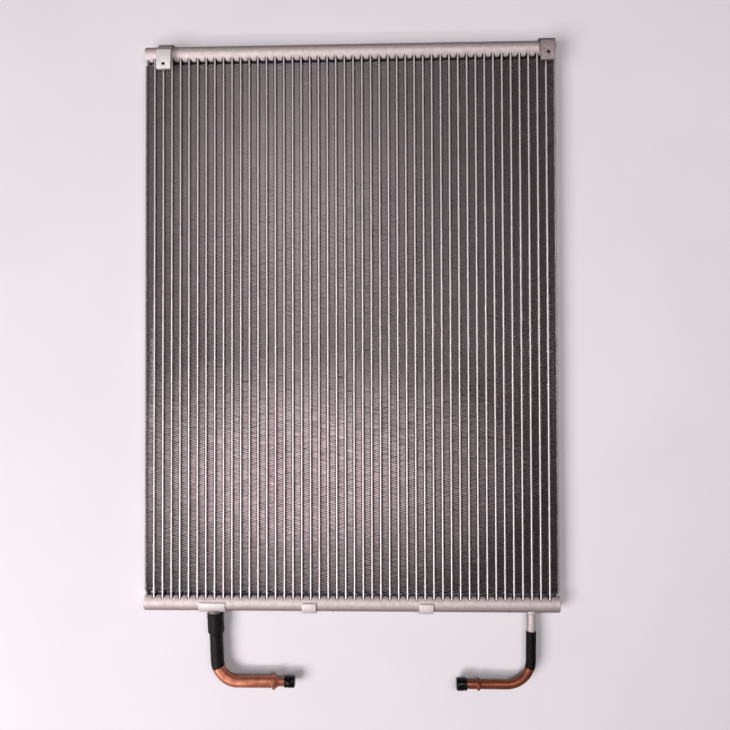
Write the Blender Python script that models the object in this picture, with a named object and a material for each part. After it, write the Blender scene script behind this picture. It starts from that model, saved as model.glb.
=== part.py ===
"""Microchannel condenser coil, lying on the backs of its saddles with its front face up.

Metres. X runs along the headers, Y across the core from the pipe side to the far header, Z up.
The headers are round tubes whose wall is pressed in beside each slot, so that it stands up in a
dome between two tubes. The core is made of flat tubes with a fin strip beside each one.
"""

import math

import bmesh
import bpy
from mathutils import Vector

MM = 0.001

# Clearance between pieces that meet
GAP = 0.3 * MM
SHRINK_GAP = 0.1 * MM

# Core: flat tubes, fin strips and passes
TUBE_PITCH = 9.05 * MM
TUBE_THICKNESS = 2.0 * MM
TUBE_DEPTH = 12.0 * MM
TUBE_NOSE = 0.5 * MM
TUBE_WALL = 0.35 * MM
PASS_TUBES = (21, 13, 7, 5)
FIN_HEADER_GAP = 5.6 * MM
TUBE_END_FROM_AXIS = 1.6 * MM

# Headers
HEADER_SPACING = 573.2 * MM
HEADER_DIAMETER = 17.0 * MM
HEADER_WALL = 1.5 * MM
HEADER_OVERHANG = 10.375 * MM
SLOT_LAND = 0.15 * MM
GROOVE_DEPTH = 3.0 * MM
GROOVE_FLARE = 1.3 * MM
SLOT_COLLAR = 2.6 * MM
DOME_STEPS = 3
ROUND_STEPS = 11
BORE_DOME_STEPS = 2

# Header end caps
CAP_FLANGE = 1.5 * MM
CAP_CHAMFER = 0.8 * MM
CAP_PLUG = 4.0 * MM

# Baffles between the passes
BAFFLE_THICKNESS = 1.2 * MM
BAFFLE_PROUD = 0.3 * MM

# Side plates
PLATE_THICKNESS = 1.6 * MM
PLATE_DEPTH = 12.0 * MM
PLATE_JOGGLE = 1.6 * MM
PLATE_JOGGLE_LENGTH = 2.8 * MM
PLATE_COPE_STEPS = 28

# Saddles: two brackets on the far header, two clips and the inlet saddle on the near one
SADDLE_BACK = 2.5 * MM
SADDLE_FOOT = 6.0 * MM
SADDLE_BACK_ANGLE = -110.0
BRACKET_WRAP = 2.5 * MM
BRACKET_WIDTH = 14.6 * MM
BRACKET_FRONT_ANGLE = 125.0
PAD_HEIGHT = 16.0 * MM
PAD_LENGTH = 18.3 * MM
PAD_THICKNESS = 3.7 * MM
PAD_ROOT = 10.4 * MM
PAD_ROOT_THICKNESS = 5.1 * MM
PAD_CORNER = 3.6 * MM
PAD_CORNER_DROP = 1.9 * MM
PAD_HOLE = 3.0 * MM
LEFT_BRACKET_FROM_END = 22.3 * MM
LEFT_PAD_EDGE = -1.6 * MM
LEFT_HOLE_FROM_END = 5.0 * MM
RIGHT_BRACKET_FROM_END = 9.8 * MM
RIGHT_PAD_EDGE = 1.4 * MM
RIGHT_HOLE_FROM_END = 7.4 * MM
CLIP_WRAP = 2.0 * MM
CLIP_WIDTH = 14.5 * MM
CLIP_FRONT_ANGLE = 98.0
LEFT_CLIP_FROM_END = 171.7 * MM
RIGHT_CLIP_FROM_END = 136.2 * MM
INLET_SADDLE_WRAP = 1.2 * MM
INLET_SADDLE_WIDTH = 27.2 * MM
INLET_SADDLE_ASIDE = 1.2 * MM

# Inlet pipe: stub, joint sleeve, slim sleeve, copper pipe and cap
INLET_FROM_END = 72.6 * MM
INLET_LEAN = 2.6
INLET_DROP = 81.6 * MM
INLET_BEND = 22.0 * MM
INLET_STUB_IN = 4.0 * MM
INLET_STUB_DIAMETER = 12.0 * MM
INLET_STUB_WALL = 1.2 * MM
INLET_COLLAR_DIAMETER = 13.4 * MM
INLET_COLLAR_HEIGHT = 2.2 * MM
INLET_SOCKET_DIAMETER = 15.4 * MM
INLET_SOCKET_END = 29.0 * MM
INLET_JOINT = 48.3 * MM
INLET_PIPE_DIAMETER = 12.7 * MM
INLET_PIPE_WALL = 0.9 * MM
JOINT_SLEEVE_DIAMETER = 16.9 * MM
JOINT_SLEEVE_END = 34.0 * MM
JOINT_SLEEVE_TAPER = 3.6 * MM
SLIM_SLEEVE_WALL = 0.3 * MM
INLET_SLEEVE_START = 30.6 * MM
INLET_BEAD_AT = 36.9 * MM
INLET_BEAD_DIAMETER = 17.2 * MM
INLET_BEAD_CONE = 5.2 * MM
INLET_NIPPLE_DIAMETER = 9.3 * MM
INLET_CAP_AT = 48.0 * MM
INLET_CAP_LENGTH = 11.0 * MM
INLET_CAP_DIAMETER = 12.2 * MM

# Outlet pipe: stub, sleeve, copper pipe and cap
OUTLET_FROM_END = 28.4 * MM
OUTLET_LEAN = 0.8
OUTLET_DROP = 82.3 * MM
OUTLET_BEND = 25.0 * MM
OUTLET_STUB_IN = 6.2 * MM
OUTLET_STUB_DIAMETER = 8.6 * MM
OUTLET_STUB_WALL = 1.0 * MM
OUTLET_JOINT = 48.6 * MM
OUTLET_PIPE_DIAMETER = 9.52 * MM
OUTLET_PIPE_WALL = 0.8 * MM
OUTLET_SLEEVE_START = 27.6 * MM
OUTLET_BEAD_AT = 28.6 * MM
OUTLET_BEAD_DIAMETER = 13.2 * MM
OUTLET_BEAD_WIDTH = 4.6 * MM
OUTLET_CAP_AT = 40.6 * MM
OUTLET_CAP_LENGTH = 10.8 * MM
OUTLET_CAP_DIAMETER = 13.2 * MM

CAP_SOCKET = 7.6 * MM
CAP_EDGE = 1.0 * MM
PIPE_SIDES = 12
BEND_STEPS = 5
SLEEVED_BEND_STEPS = 1

# Sizes that follow from those above
TUBE_COUNT = sum(PASS_TUBES)
HEADER_RADIUS = HEADER_DIAMETER / 2
HEADER_LENGTH = (TUBE_COUNT - 1) * TUBE_PITCH + 2 * HEADER_OVERHANG
HEADER_END_X = HEADER_LENGTH / 2
FIN_LENGTH = HEADER_SPACING - HEADER_DIAMETER - 2 * FIN_HEADER_GAP
BORE_RADIUS = HEADER_RADIUS - HEADER_WALL
AXIS_Z = HEADER_RADIUS + SADDLE_BACK
SLOT_HALF_WIDTH = TUBE_THICKNESS / 2 + GAP
SLOT_HALF_DEPTH = TUBE_DEPTH / 2 + GAP
GROOVE_FLOOR = HEADER_RADIUS - GROOVE_DEPTH
COLLAR_FLOOR = GROOVE_FLOOR - SLOT_COLLAR
GROOVE_SLOPE = GROOVE_FLARE / GROOVE_DEPTH
SEAT_RADIUS = HEADER_RADIUS + GAP
TUBE_HALF_LENGTH = HEADER_SPACING / 2 - TUBE_END_FROM_AXIS
FIN_HALF_DEPTH = TUBE_DEPTH / 2 - TUBE_NOSE
PLATE_INNER_X = TUBE_COUNT / 2 * TUBE_PITCH + (TUBE_PITCH - TUBE_THICKNESS) / 2
HIGH_REACH = HEADER_SPACING / 2 + HEADER_RADIUS + BRACKET_WRAP
LOW_REACH = HEADER_SPACING / 2 + INLET_DROP + INLET_BEAD_DIAMETER / 2
LEFT_BRACKET_X = LEFT_BRACKET_FROM_END - HEADER_END_X
RIGHT_BRACKET_X = HEADER_END_X - RIGHT_BRACKET_FROM_END
LEFT_CLIP_X = LEFT_CLIP_FROM_END - HEADER_END_X
RIGHT_CLIP_X = HEADER_END_X - RIGHT_CLIP_FROM_END
INLET_X = INLET_FROM_END - HEADER_END_X
INLET_SADDLE_X = INLET_X - INLET_SADDLE_ASIDE
OUTLET_X = HEADER_END_X - OUTLET_FROM_END
CORE_Y = (LOW_REACH - HIGH_REACH) / 2
UPPER_AXIS_Y = CORE_Y + HEADER_SPACING / 2
LOWER_AXIS_Y = CORE_Y - HEADER_SPACING / 2

WELD = 1e-6
SHARP_ANGLE = math.radians(32)


def clear_scene():
    for old in list(bpy.data.objects):
        bpy.data.objects.remove(old)


def make_material(name, colour, roughness, metallic):
    material = bpy.data.materials.new(name)
    material.use_nodes = True
    shader = material.node_tree.nodes["Principled BSDF"]
    shader.inputs["Base Color"].default_value = (*colour, 1)
    shader.inputs["Roughness"].default_value = roughness
    shader.inputs["Metallic"].default_value = metallic
    return material


def solid_from_faces(name, faces, material):
    """One closed object from faces given as lists of corner positions."""
    bm = bmesh.new()
    for corners in faces:
        bm.faces.new([bm.verts.new(corner) for corner in corners])
    bmesh.ops.remove_doubles(bm, verts=bm.verts, dist=WELD)
    bmesh.ops.recalc_face_normals(bm, faces=bm.faces)
    mesh = bpy.data.meshes.new(name)
    bm.to_mesh(mesh)
    bm.free()
    mesh.shade_smooth()
    mesh.set_sharp_from_angle(angle=SHARP_ANGLE)
    mesh.materials.append(material)
    made = bpy.data.objects.new(name, mesh)
    bpy.context.scene.collection.objects.link(made)
    return made


def band(first, second, closed=True):
    """Quads between two rows of points that have the same count."""
    count = len(first)
    steps = count if closed else count - 1
    return [
        (first[i], first[(i + 1) % count], second[(i + 1) % count], second[i])
        for i in range(steps)
    ]


def cut(target, cutter):
    """Takes the cutter's shape out of the target, then removes the cutter."""
    boolean = target.modifiers.new(cutter.name, "BOOLEAN")
    boolean.operation = "DIFFERENCE"
    boolean.object = cutter
    bpy.context.view_layer.objects.active = target
    bpy.ops.object.modifier_apply(modifier=boolean.name)
    target.data.set_sharp_from_angle(angle=SHARP_ANGLE)
    bpy.data.objects.remove(cutter)


def cylinder_cutter(name, radius, start, end, sides, material):
    """A round cutter between two points."""
    along = (end - start).normalized()
    side = along.orthogonal().normalized()
    other = along.cross(side)
    rings = []
    for centre in (start, end):
        ring = []
        for i in range(sides):
            turn = 2 * math.pi * i / sides
            ring.append(centre + radius * (math.cos(turn) * side + math.sin(turn) * other))
        rings.append(ring)
    faces = band(rings[0], rings[1]) + [rings[0], rings[1]]
    return solid_from_faces(name, faces, material)


def box_cutter(name, low, high, material):
    """A box cutter between two opposite corners."""
    corners = [
        [(x, y, z) for x, y in ((low[0], low[1]), (high[0], low[1]), (high[0], high[1]), (low[0], high[1]))]
        for z in (low[2], high[2])
    ]
    faces = band(corners[0], corners[1]) + corners
    return solid_from_faces(name, faces, material)


def tube_x(number):
    """Centre of a tube, counted from 1 at the inlet end."""
    return (number - (TUBE_COUNT + 1) / 2) * TUBE_PITCH


class RoundSection:
    """A header's section outside or in the bore, as (towards the tubes, up) points.

    It starts on the lower edge of the domed stretch, which faces the tubes.
    """

    def __init__(self, radius, floor, dome_steps):
        self.radius = radius
        self.floor = floor
        self.dome_steps = dome_steps
        dome = math.acos(floor / radius)
        plain = 2 * math.pi - 2 * dome
        round_steps = DOME_STEPS + ROUND_STEPS - dome_steps
        self.angles = [-dome + 2 * dome * i / dome_steps for i in range(dome_steps)]
        self.angles += [dome + plain * i / round_steps for i in range(round_steps)]

    def arch(self):
        return self.points(self.radius)[: self.dome_steps + 1]

    def points(self, radius):
        return [(radius * math.cos(a), radius * math.sin(a)) for a in self.angles]

    def ring(self, x, radius=None):
        size = self.radius if radius is None else radius
        return [(x, t, h) for t, h in self.points(size)]


def header_skin(section, floor_half_width, half_length):
    """Faces of a header's outside or bore: domes between the slots, grooves with a slot in their floor."""
    floor = section.floor
    arch = section.arch()

    def dome_edge(centre, side):
        return [
            (centre + side * (floor_half_width + GROOVE_SLOPE * (t - floor)), t, h)
            for t, h in arch
        ]

    faces = []
    previous = [(-half_length, t, h) for t, h in arch]
    low_line = [previous[0]]
    high_line = [previous[-1]]
    for number in range(1, TUBE_COUNT + 1):
        centre = tube_x(number)
        left = dome_edge(centre, -1)
        right = dome_edge(centre, 1)
        faces += band(previous, left, closed=False)
        faces += [left, right]
        outline = (left[0], right[0], right[-1], left[-1])
        faces += band(outline, slot_corners(centre, floor))
        low_line += [left[0], right[0]]
        high_line += [left[-1], right[-1]]
        previous = right
    last = [(half_length, t, h) for t, h in arch]
    faces += band(previous, last, closed=False)
    low_line.append(last[0])
    high_line.append(last[-1])

    start = section.ring(-half_length)
    end = section.ring(half_length)
    first = section.dome_steps
    faces += fan_strip(high_line, start[first + 1], end[first + 1])
    for i in range(first + 1, len(start) - 1):
        faces.append((start[i], start[i + 1], end[i + 1], end[i]))
    faces += fan_strip(low_line, start[-1], end[-1])
    return faces


def fan_strip(line, start, end):
    """A flat strip between a line of many points and an edge with only two."""
    middle = len(line) // 2
    faces = [(line[i], line[i + 1], start) for i in range(middle)]
    faces.append((line[middle], end, start))
    faces += [(line[i], line[i + 1], end) for i in range(middle, len(line) - 1)]
    return faces


OUTSIDE = RoundSection(HEADER_RADIUS, GROOVE_FLOOR, DOME_STEPS)
BORE = RoundSection(BORE_RADIUS, COLLAR_FLOOR, BORE_DOME_STEPS)


def slot_corners(centre, level):
    return [
        (centre + sx * SLOT_HALF_WIDTH, level, sh * SLOT_HALF_DEPTH)
        for sx, sh in ((-1, -1), (1, -1), (1, 1), (-1, 1))
    ]


def header_to_world(points, axis_y, towards):
    """Moves points (x, towards the tubes, up) to a header's place."""
    return [Vector((x, axis_y + towards * t, AXIS_Z + h)) for x, t, h in points]


def make_header(name, axis_y, towards, material):
    """A header tube with a collared slot for each flat tube."""
    half = HEADER_END_X - CAP_FLANGE - GAP
    outer_floor = SLOT_HALF_WIDTH + SLOT_LAND
    wall_shift = HEADER_WALL * math.hypot(1, GROOVE_SLOPE)
    bore_floor = outer_floor + wall_shift - GROOVE_SLOPE * SLOT_COLLAR
    faces = header_skin(OUTSIDE, outer_floor, half)
    faces += header_skin(BORE, bore_floor, half)
    for number in range(1, TUBE_COUNT + 1):
        centre = tube_x(number)
        faces += band(slot_corners(centre, GROOVE_FLOOR), slot_corners(centre, COLLAR_FLOOR))
    for x in (-half, half):
        faces += band(OUTSIDE.ring(x), BORE.ring(x))
    placed = [header_to_world(face, axis_y, towards) for face in faces]
    return solid_from_faces(name, placed, material)


def make_end_cap(name, side, axis_y, towards, material):
    """A cap with a plug in the bore and a chamfered flange over the header's end."""
    end = side * HEADER_END_X
    shoulder = end - side * CAP_FLANGE
    rings = [
        OUTSIDE.ring(end, HEADER_RADIUS - CAP_CHAMFER),
        OUTSIDE.ring(end - side * CAP_CHAMFER),
        OUTSIDE.ring(shoulder),
        BORE.ring(shoulder, BORE_RADIUS - GAP),
        BORE.ring(shoulder - side * CAP_PLUG, BORE_RADIUS - GAP),
    ]
    faces = [rings[0], rings[-1]]
    for first, second in zip(rings, rings[1:]):
        faces += band(first, second)
    placed = [header_to_world(face, axis_y, towards) for face in faces]
    return solid_from_faces(name, placed, material)


def make_baffle(name, after_tube, header, axis_y, towards, material):
    """A disc across the bore whose outer half stands in a slot through the header's wall."""
    centre = (tube_x(after_tube) + tube_x(after_tube + 1)) / 2
    inner = BORE_RADIUS - GAP
    outer = HEADER_RADIUS + BAFFLE_PROUD
    shoulder = inner * math.cos(math.pi / ROUND_STEPS)
    bore_side = sorted(math.atan2(math.sin(a), math.cos(a)) for a in BORE.angles)
    outline = [(-GAP, -shoulder)]
    outline += [
        (inner * math.cos(a), inner * math.sin(a)) for a in bore_side if inner * math.cos(a) > 0
    ]
    outline.append((-GAP, shoulder))
    start = math.acos(-GAP / outer)
    for i in range(ROUND_STEPS):
        a = start + (2 * math.pi - 2 * start) * i / (ROUND_STEPS - 1)
        outline.append((outer * math.cos(a), outer * math.sin(a)))
    faces = []
    for x in (centre - BAFFLE_THICKNESS / 2, centre + BAFFLE_THICKNESS / 2):
        faces.append([(x, t, h) for t, h in outline])
    faces += band(faces[0], faces[1])
    placed = [header_to_world(face, axis_y, towards) for face in faces]
    solid_from_faces(name, placed, material)

    half = BAFFLE_THICKNESS / 2 + GAP
    far = axis_y - towards * 2 * HEADER_RADIUS
    low = (centre - half, min(axis_y, far), AXIS_Z - 2 * HEADER_RADIUS)
    high = (centre + half, max(axis_y, far), AXIS_Z + 2 * HEADER_RADIUS)
    cut(header, box_cutter(name + "_slot", low, high, material))


def tube_faces(x, fins_left, fins_right):
    """A flat tube with one port, cornered noses and, where a fin strip joins it, open flanks."""
    a = TUBE_THICKNESS / 2
    d = TUBE_DEPTH / 2
    n = TUBE_NOSE
    w = TUBE_WALL
    end = TUBE_HALF_LENGTH
    fin = FIN_LENGTH / 2
    faces = []
    for up in (-1, 1):
        faces.append([
            (x + sx * (a - n), sy * end, up * d) for sx, sy in ((-1, -1), (1, -1), (1, 1), (-1, 1))
        ])
        for side, joined in ((-1, fins_left), (1, fins_right)):
            stops = (-end, -fin, fin, end) if joined else (-end, end)
            chamfer = [(x + side * a, y, up * (d - n)) for y in stops]
            chamfer += [(x + side * (a - n), y, up * d) for y in (end, -end)]
            faces.append(chamfer)
    for side, joined in ((-1, fins_left), (1, fins_right)):
        runs = ((-end, -fin), (fin, end)) if joined else ((-end, end),)
        for low, high in runs:
            faces.append([
                (x + side * a, y, z)
                for y, z in ((low, n - d), (high, n - d), (high, d - n), (low, d - n))
            ])
    port = [(x + sx * (a - w), sz * (d - n)) for sx, sz in ((-1, -1), (1, -1), (1, 1), (-1, 1))]
    ports = [[(px, y, pz) for px, pz in port] for y in (-end, end)]
    faces += band(ports[0], ports[1])
    for y, hole in zip((-end, end), ports):
        nose = [(x + sx * (a - n), y, sz * d) for sx, sz in ((-1, -1), (1, -1), (1, 1), (-1, 1))]
        flank = [(x + sx * a, y, sz * (d - n)) for sx, sz in ((-1, -1), (1, -1), (1, 1), (-1, 1))]
        faces.append((nose[0], nose[1], hole[1], hole[0]))
        faces.append((nose[2], nose[3], hole[3], hole[2]))
        faces.append((flank[1], flank[2], hole[2], hole[1]))
        faces.append((flank[3], flank[0], hole[0], hole[3]))
        faces += [(nose[i], flank[i], hole[i]) for i in range(4)]
    return faces


def fin_faces(left, right, joined_left, joined_right):
    """A fin strip between two tubes, closed where no tube joins it."""
    fin = FIN_LENGTH / 2
    z = FIN_HALF_DEPTH
    faces = []
    for up in (-z, z):
        faces.append(((left, -fin, up), (right, -fin, up), (right, fin, up), (left, fin, up)))
    for y in (-fin, fin):
        faces.append(((left, y, -z), (right, y, -z), (right, y, z), (left, y, z)))
    for x, joined in ((left, joined_left), (right, joined_right)):
        if not joined:
            faces.append(((x, -fin, -z), (x, fin, -z), (x, fin, z), (x, -fin, z)))
    return faces


def make_pass(name, first, last, material):
    """The tubes of one pass with the fin strip on the left of each, and the last strip of the core."""
    half = TUBE_THICKNESS / 2
    faces = []
    for number in range(first, last + 1):
        x = tube_x(number)
        start_of_pass = number == first
        end_of_core = number == TUBE_COUNT
        faces += tube_faces(x, True, number < last or end_of_core)
        left = -PLATE_INNER_X if number == 1 else x - TUBE_PITCH + half
        if start_of_pass:
            left += GAP
        faces += fin_faces(left, x - half, not start_of_pass, True)
        if end_of_core:
            faces += fin_faces(x + half, PLATE_INNER_X - GAP, True, False)
    placed = [[Vector((x, CORE_Y + y, AXIS_Z + z)) for x, y, z in face] for face in faces]
    return solid_from_faces(name, placed, material)


def make_side_plate(name, side, material):
    """A strip beside the outer fins, stepped inwards and coped round the header at each end."""
    straight = FIN_LENGTH / 2 + GAP
    stepped = straight + PLATE_JOGGLE_LENGTH
    end = HEADER_SPACING / 2 - TUBE_DEPTH / 2
    inner = PLATE_INNER_X
    outer = PLATE_INNER_X + PLATE_THICKNESS
    run = [(-end, PLATE_JOGGLE), (-stepped, PLATE_JOGGLE), (-straight, 0)]
    run += [(-y, step) for y, step in reversed(run)]
    outline = [(side * (outer - step), CORE_Y + y) for y, step in run]
    outline += [(side * (inner - step), CORE_Y + y) for y, step in reversed(run)]
    half = PLATE_DEPTH / 2
    faces = [[Vector((x, y, AXIS_Z + z)) for x, y in outline] for z in (-half, half)]
    faces += band(faces[0], faces[1])
    plate = solid_from_faces(name, faces, material)
    near = side * (inner - 2 * PLATE_JOGGLE)
    far = side * (outer + 2 * PLATE_JOGGLE)
    for place, axis_y in (("upper", UPPER_AXIS_Y), ("lower", LOWER_AXIS_Y)):
        label = f"{name}_{place}_cope"
        start = Vector((near, axis_y, AXIS_Z))
        finish = Vector((far, axis_y, AXIS_Z))
        cut(plate, cylinder_cutter(label, SEAT_RADIUS, start, finish, PLATE_COPE_STEPS, material))


def arc(radius, start, end, steps):
    """Points (outwards, up) round a header's axis, angles in degrees from outwards."""
    points = []
    for i in range(steps + 1):
        turn = math.radians(start + (end - start) * i / steps)
        points.append((radius * math.cos(turn), radius * math.sin(turn)))
    return points


def saddle_foot():
    """The flat back that a saddle lies on, from its outer corner to its inner one."""
    level = -(HEADER_RADIUS + SADDLE_BACK)
    return [(SADDLE_FOOT / 2, level), (-SADDLE_FOOT / 2, level)]


def clip_outline(wrap):
    """A saddle that wraps the outer half of a header, from a lip on its front to its flat back."""
    outline = arc(HEADER_RADIUS + GAP + wrap, CLIP_FRONT_ANGLE, -58, 9)
    outline += saddle_foot()
    outline += arc(SEAT_RADIUS, SADDLE_BACK_ANGLE, CLIP_FRONT_ANGLE, 12)
    return outline


def bracket_outline(pad_edge):
    """A saddle whose front rises to a flat pad that reaches over the core."""
    pad_end = pad_edge - PAD_LENGTH
    outline = [
        (pad_end, PAD_HEIGHT),
        (pad_edge, PAD_HEIGHT),
        (pad_edge + PAD_CORNER, PAD_HEIGHT - PAD_CORNER_DROP),
    ]
    outline += arc(HEADER_RADIUS + BRACKET_WRAP, 36, -60, 5)
    outline += saddle_foot()
    outline += arc(SEAT_RADIUS, SADDLE_BACK_ANGLE, BRACKET_FRONT_ANGLE, 12)
    outline.append((pad_end + PAD_ROOT, PAD_HEIGHT - PAD_ROOT_THICKNESS))
    outline.append((pad_end, PAD_HEIGHT - PAD_THICKNESS))
    return outline


def extrude_saddle(name, outline, centre, width, axis_y, outwards, material):
    """Runs a saddle's outline along the header."""
    faces = []
    for x in (centre - width / 2, centre + width / 2):
        faces.append([Vector((x, axis_y + outwards * u, AXIS_Z + h)) for u, h in outline])
    faces += band(faces[0], faces[1])
    return solid_from_faces(name, faces, material)


def make_bracket(name, centre, pad_edge, hole_from_end, material):
    """A bracket on the far header, with a screw hole through its pad."""
    outline = bracket_outline(pad_edge)
    bracket = extrude_saddle(name, outline, centre, BRACKET_WIDTH, UPPER_AXIS_Y, 1, material)
    hole_y = UPPER_AXIS_Y + pad_edge - PAD_LENGTH + hole_from_end
    top = Vector((centre, hole_y, AXIS_Z + PAD_HEIGHT + PAD_THICKNESS))
    bottom = Vector((centre, hole_y, AXIS_Z + TUBE_DEPTH / 2))
    cut(bracket, cylinder_cutter(name + "_hole", PAD_HOLE / 2, bottom, top, PIPE_SIDES, material))


class PipeRoute:
    """A pipe's centre line: straight out of the near header, round a bend, then along the header."""

    def __init__(self, x, lean, drop, bend, turn_to):
        self.lean = math.radians(lean)
        self.bend = bend
        self.turn_to = turn_to
        self.start = Vector((x, LOWER_AXIS_Y, AXIS_Z))
        self.straight = (drop - bend * (1 - math.sin(self.lean))) / math.cos(self.lean)
        self.bend_end = self.straight + bend * (math.pi / 2 - self.lean)

    def heading(self, angle):
        return Vector((self.turn_to * math.sin(angle), -math.cos(angle), 0))

    def at(self, distance):
        """Centre and direction at a distance from the header's axis."""
        first = self.heading(self.lean)
        if distance <= self.straight:
            return self.start + first * distance, first
        corner = self.start + first * self.straight
        angle = min(self.lean + (distance - self.straight) / self.bend, math.pi / 2)
        across = self.bend * (math.cos(self.lean) - math.cos(angle))
        down = self.bend * (math.sin(angle) - math.sin(self.lean))
        place = corner + Vector((self.turn_to * across, -down, 0))
        direction = self.heading(angle)
        if distance > self.bend_end:
            place += direction * (distance - self.bend_end)
        return place, direction

    def bend_stop(self, step):
        """Distance at which the bend has made this many of its steps."""
        return self.straight + (self.bend_end - self.straight) * step / BEND_STEPS

    def bend_stops(self, low, high):
        """Distances inside a stretch where the bend needs a section."""
        stops = [self.bend_stop(step) for step in range(BEND_STEPS + 1)]
        return [stop for stop in stops if low + WELD < stop < high - WELD]

    def ring(self, distance, radius):
        centre, along = self.at(distance)
        side = Vector((0, 0, 1)).cross(along)
        points = []
        for i in range(PIPE_SIDES):
            turn = 2 * math.pi * i / PIPE_SIDES
            points.append(centre + radius * (math.cos(turn) * side + math.sin(turn) * Vector((0, 0, 1))))
        return points

    def wall(self, stations):
        """Rings for (distance, radius) stations, with more where the bend needs them."""
        rings = []
        for i, (distance, radius) in enumerate(stations):
            rings.append(self.ring(distance, radius))
            if i + 1 < len(stations) and stations[i + 1][1] == radius:
                for stop in self.bend_stops(distance, stations[i + 1][0]):
                    rings.append(self.ring(stop, radius))
        return rings


def make_turned(name, route, outside, inside, material):
    """A hollow piece along a pipe: outer and inner stations, both listed from the header outwards."""
    outer = route.wall(outside)
    inner = route.wall(inside)
    faces = band(outer[0], inner[0]) + band(outer[-1], inner[-1])
    for rings in (outer, inner):
        for first, second in zip(rings, rings[1:]):
            faces += band(first, second)
    return solid_from_faces(name, faces, material)


def make_pipe_cap(name, route, start, length, diameter, bore, material):
    """A soft cap pushed over a pipe's end."""
    end = start + length
    radius = diameter / 2
    outer = route.wall([(start, radius), (end - CAP_EDGE, radius), (end, radius - CAP_EDGE)])
    inner = route.wall([(start, bore), (start + CAP_SOCKET, bore)])
    faces = band(outer[0], inner[0]) + [outer[-1], inner[-1]]
    for rings in (outer, inner):
        for first, second in zip(rings, rings[1:]):
            faces += band(first, second)
    return solid_from_faces(name, faces, material)


def make_inlet(header, saddle, metal, copper, sleeve, rubber):
    """The inlet: stub with a collar and a socket, wrinkled joint sleeve, slim sleeve, pipe and cap."""
    route = PipeRoute(INLET_X, INLET_LEAN, INLET_DROP, INLET_BEND, 1)
    stub = INLET_STUB_DIAMETER / 2
    pipe = INLET_PIPE_DIAMETER / 2
    socket = INLET_SOCKET_DIAMETER / 2
    collar = INLET_COLLAR_DIAMETER / 2
    seat = HEADER_RADIUS + GAP + INLET_SADDLE_WRAP + GAP
    collar_end = seat + INLET_COLLAR_HEIGHT
    sleeve_start = collar_end + GAP
    outside = [
        (INLET_STUB_IN, stub),
        (seat, stub),
        (seat, collar),
        (collar_end, collar),
        (sleeve_start, socket),
        (INLET_SOCKET_END, socket),
        (INLET_SLEEVE_START - GAP, pipe),
        (INLET_JOINT, pipe),
    ]
    bore = stub - INLET_STUB_WALL
    make_turned("inlet_stub", route, outside, [(INLET_STUB_IN, bore), (INLET_JOINT, bore)], metal)

    slim_bore = pipe + SHRINK_GAP
    slim = slim_bore + SLIM_SLEEVE_WALL
    slim_end = route.bend_stop(SLEEVED_BEND_STEPS)
    make_turned(
        "inlet_sleeve",
        route,
        [(INLET_SLEEVE_START, slim), (slim_end, slim)],
        [(INLET_SLEEVE_START, slim_bore), (slim_end, slim_bore)],
        sleeve,
    )

    joint = JOINT_SLEEVE_DIAMETER / 2
    neck = slim + SHRINK_GAP
    taper = JOINT_SLEEVE_END - JOINT_SLEEVE_TAPER
    outside = [(sleeve_start, joint), (taper, joint), (JOINT_SLEEVE_END, neck + SLIM_SLEEVE_WALL)]
    inside = [(sleeve_start, socket + SHRINK_GAP), (taper, socket + SHRINK_GAP), (JOINT_SLEEVE_END, neck)]
    make_turned("inlet_joint_sleeve", route, outside, inside, sleeve)

    tail = route.bend_end
    peak = tail + INLET_BEAD_AT
    cone = peak + INLET_BEAD_CONE
    nipple = INLET_NIPPLE_DIAMETER / 2
    end = tail + INLET_CAP_AT + CAP_SOCKET - GAP
    start = INLET_JOINT + GAP
    wall = INLET_PIPE_WALL
    outside = [
        (start, pipe),
        (peak - INLET_BEAD_CONE / 3, pipe),
        (peak, INLET_BEAD_DIAMETER / 2),
        (cone, nipple),
        (end, nipple),
    ]
    inside = [(start, pipe - wall), (peak, pipe - wall), (cone - wall, nipple - wall), (end, nipple - wall)]
    make_turned("inlet_pipe", route, outside, inside, copper)
    cap_bore = nipple + SHRINK_GAP
    cap_at = tail + INLET_CAP_AT
    make_pipe_cap("inlet_cap", route, cap_at, INLET_CAP_LENGTH, INLET_CAP_DIAMETER, cap_bore, rubber)

    inner_end, _ = route.at(INLET_STUB_IN - GAP)
    outer_end, _ = route.at(collar_end)
    for target in (header, saddle):
        label = target.name + "_hole"
        cut(target, cylinder_cutter(label, stub + GAP, inner_end, outer_end, PIPE_SIDES, metal))


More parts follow.
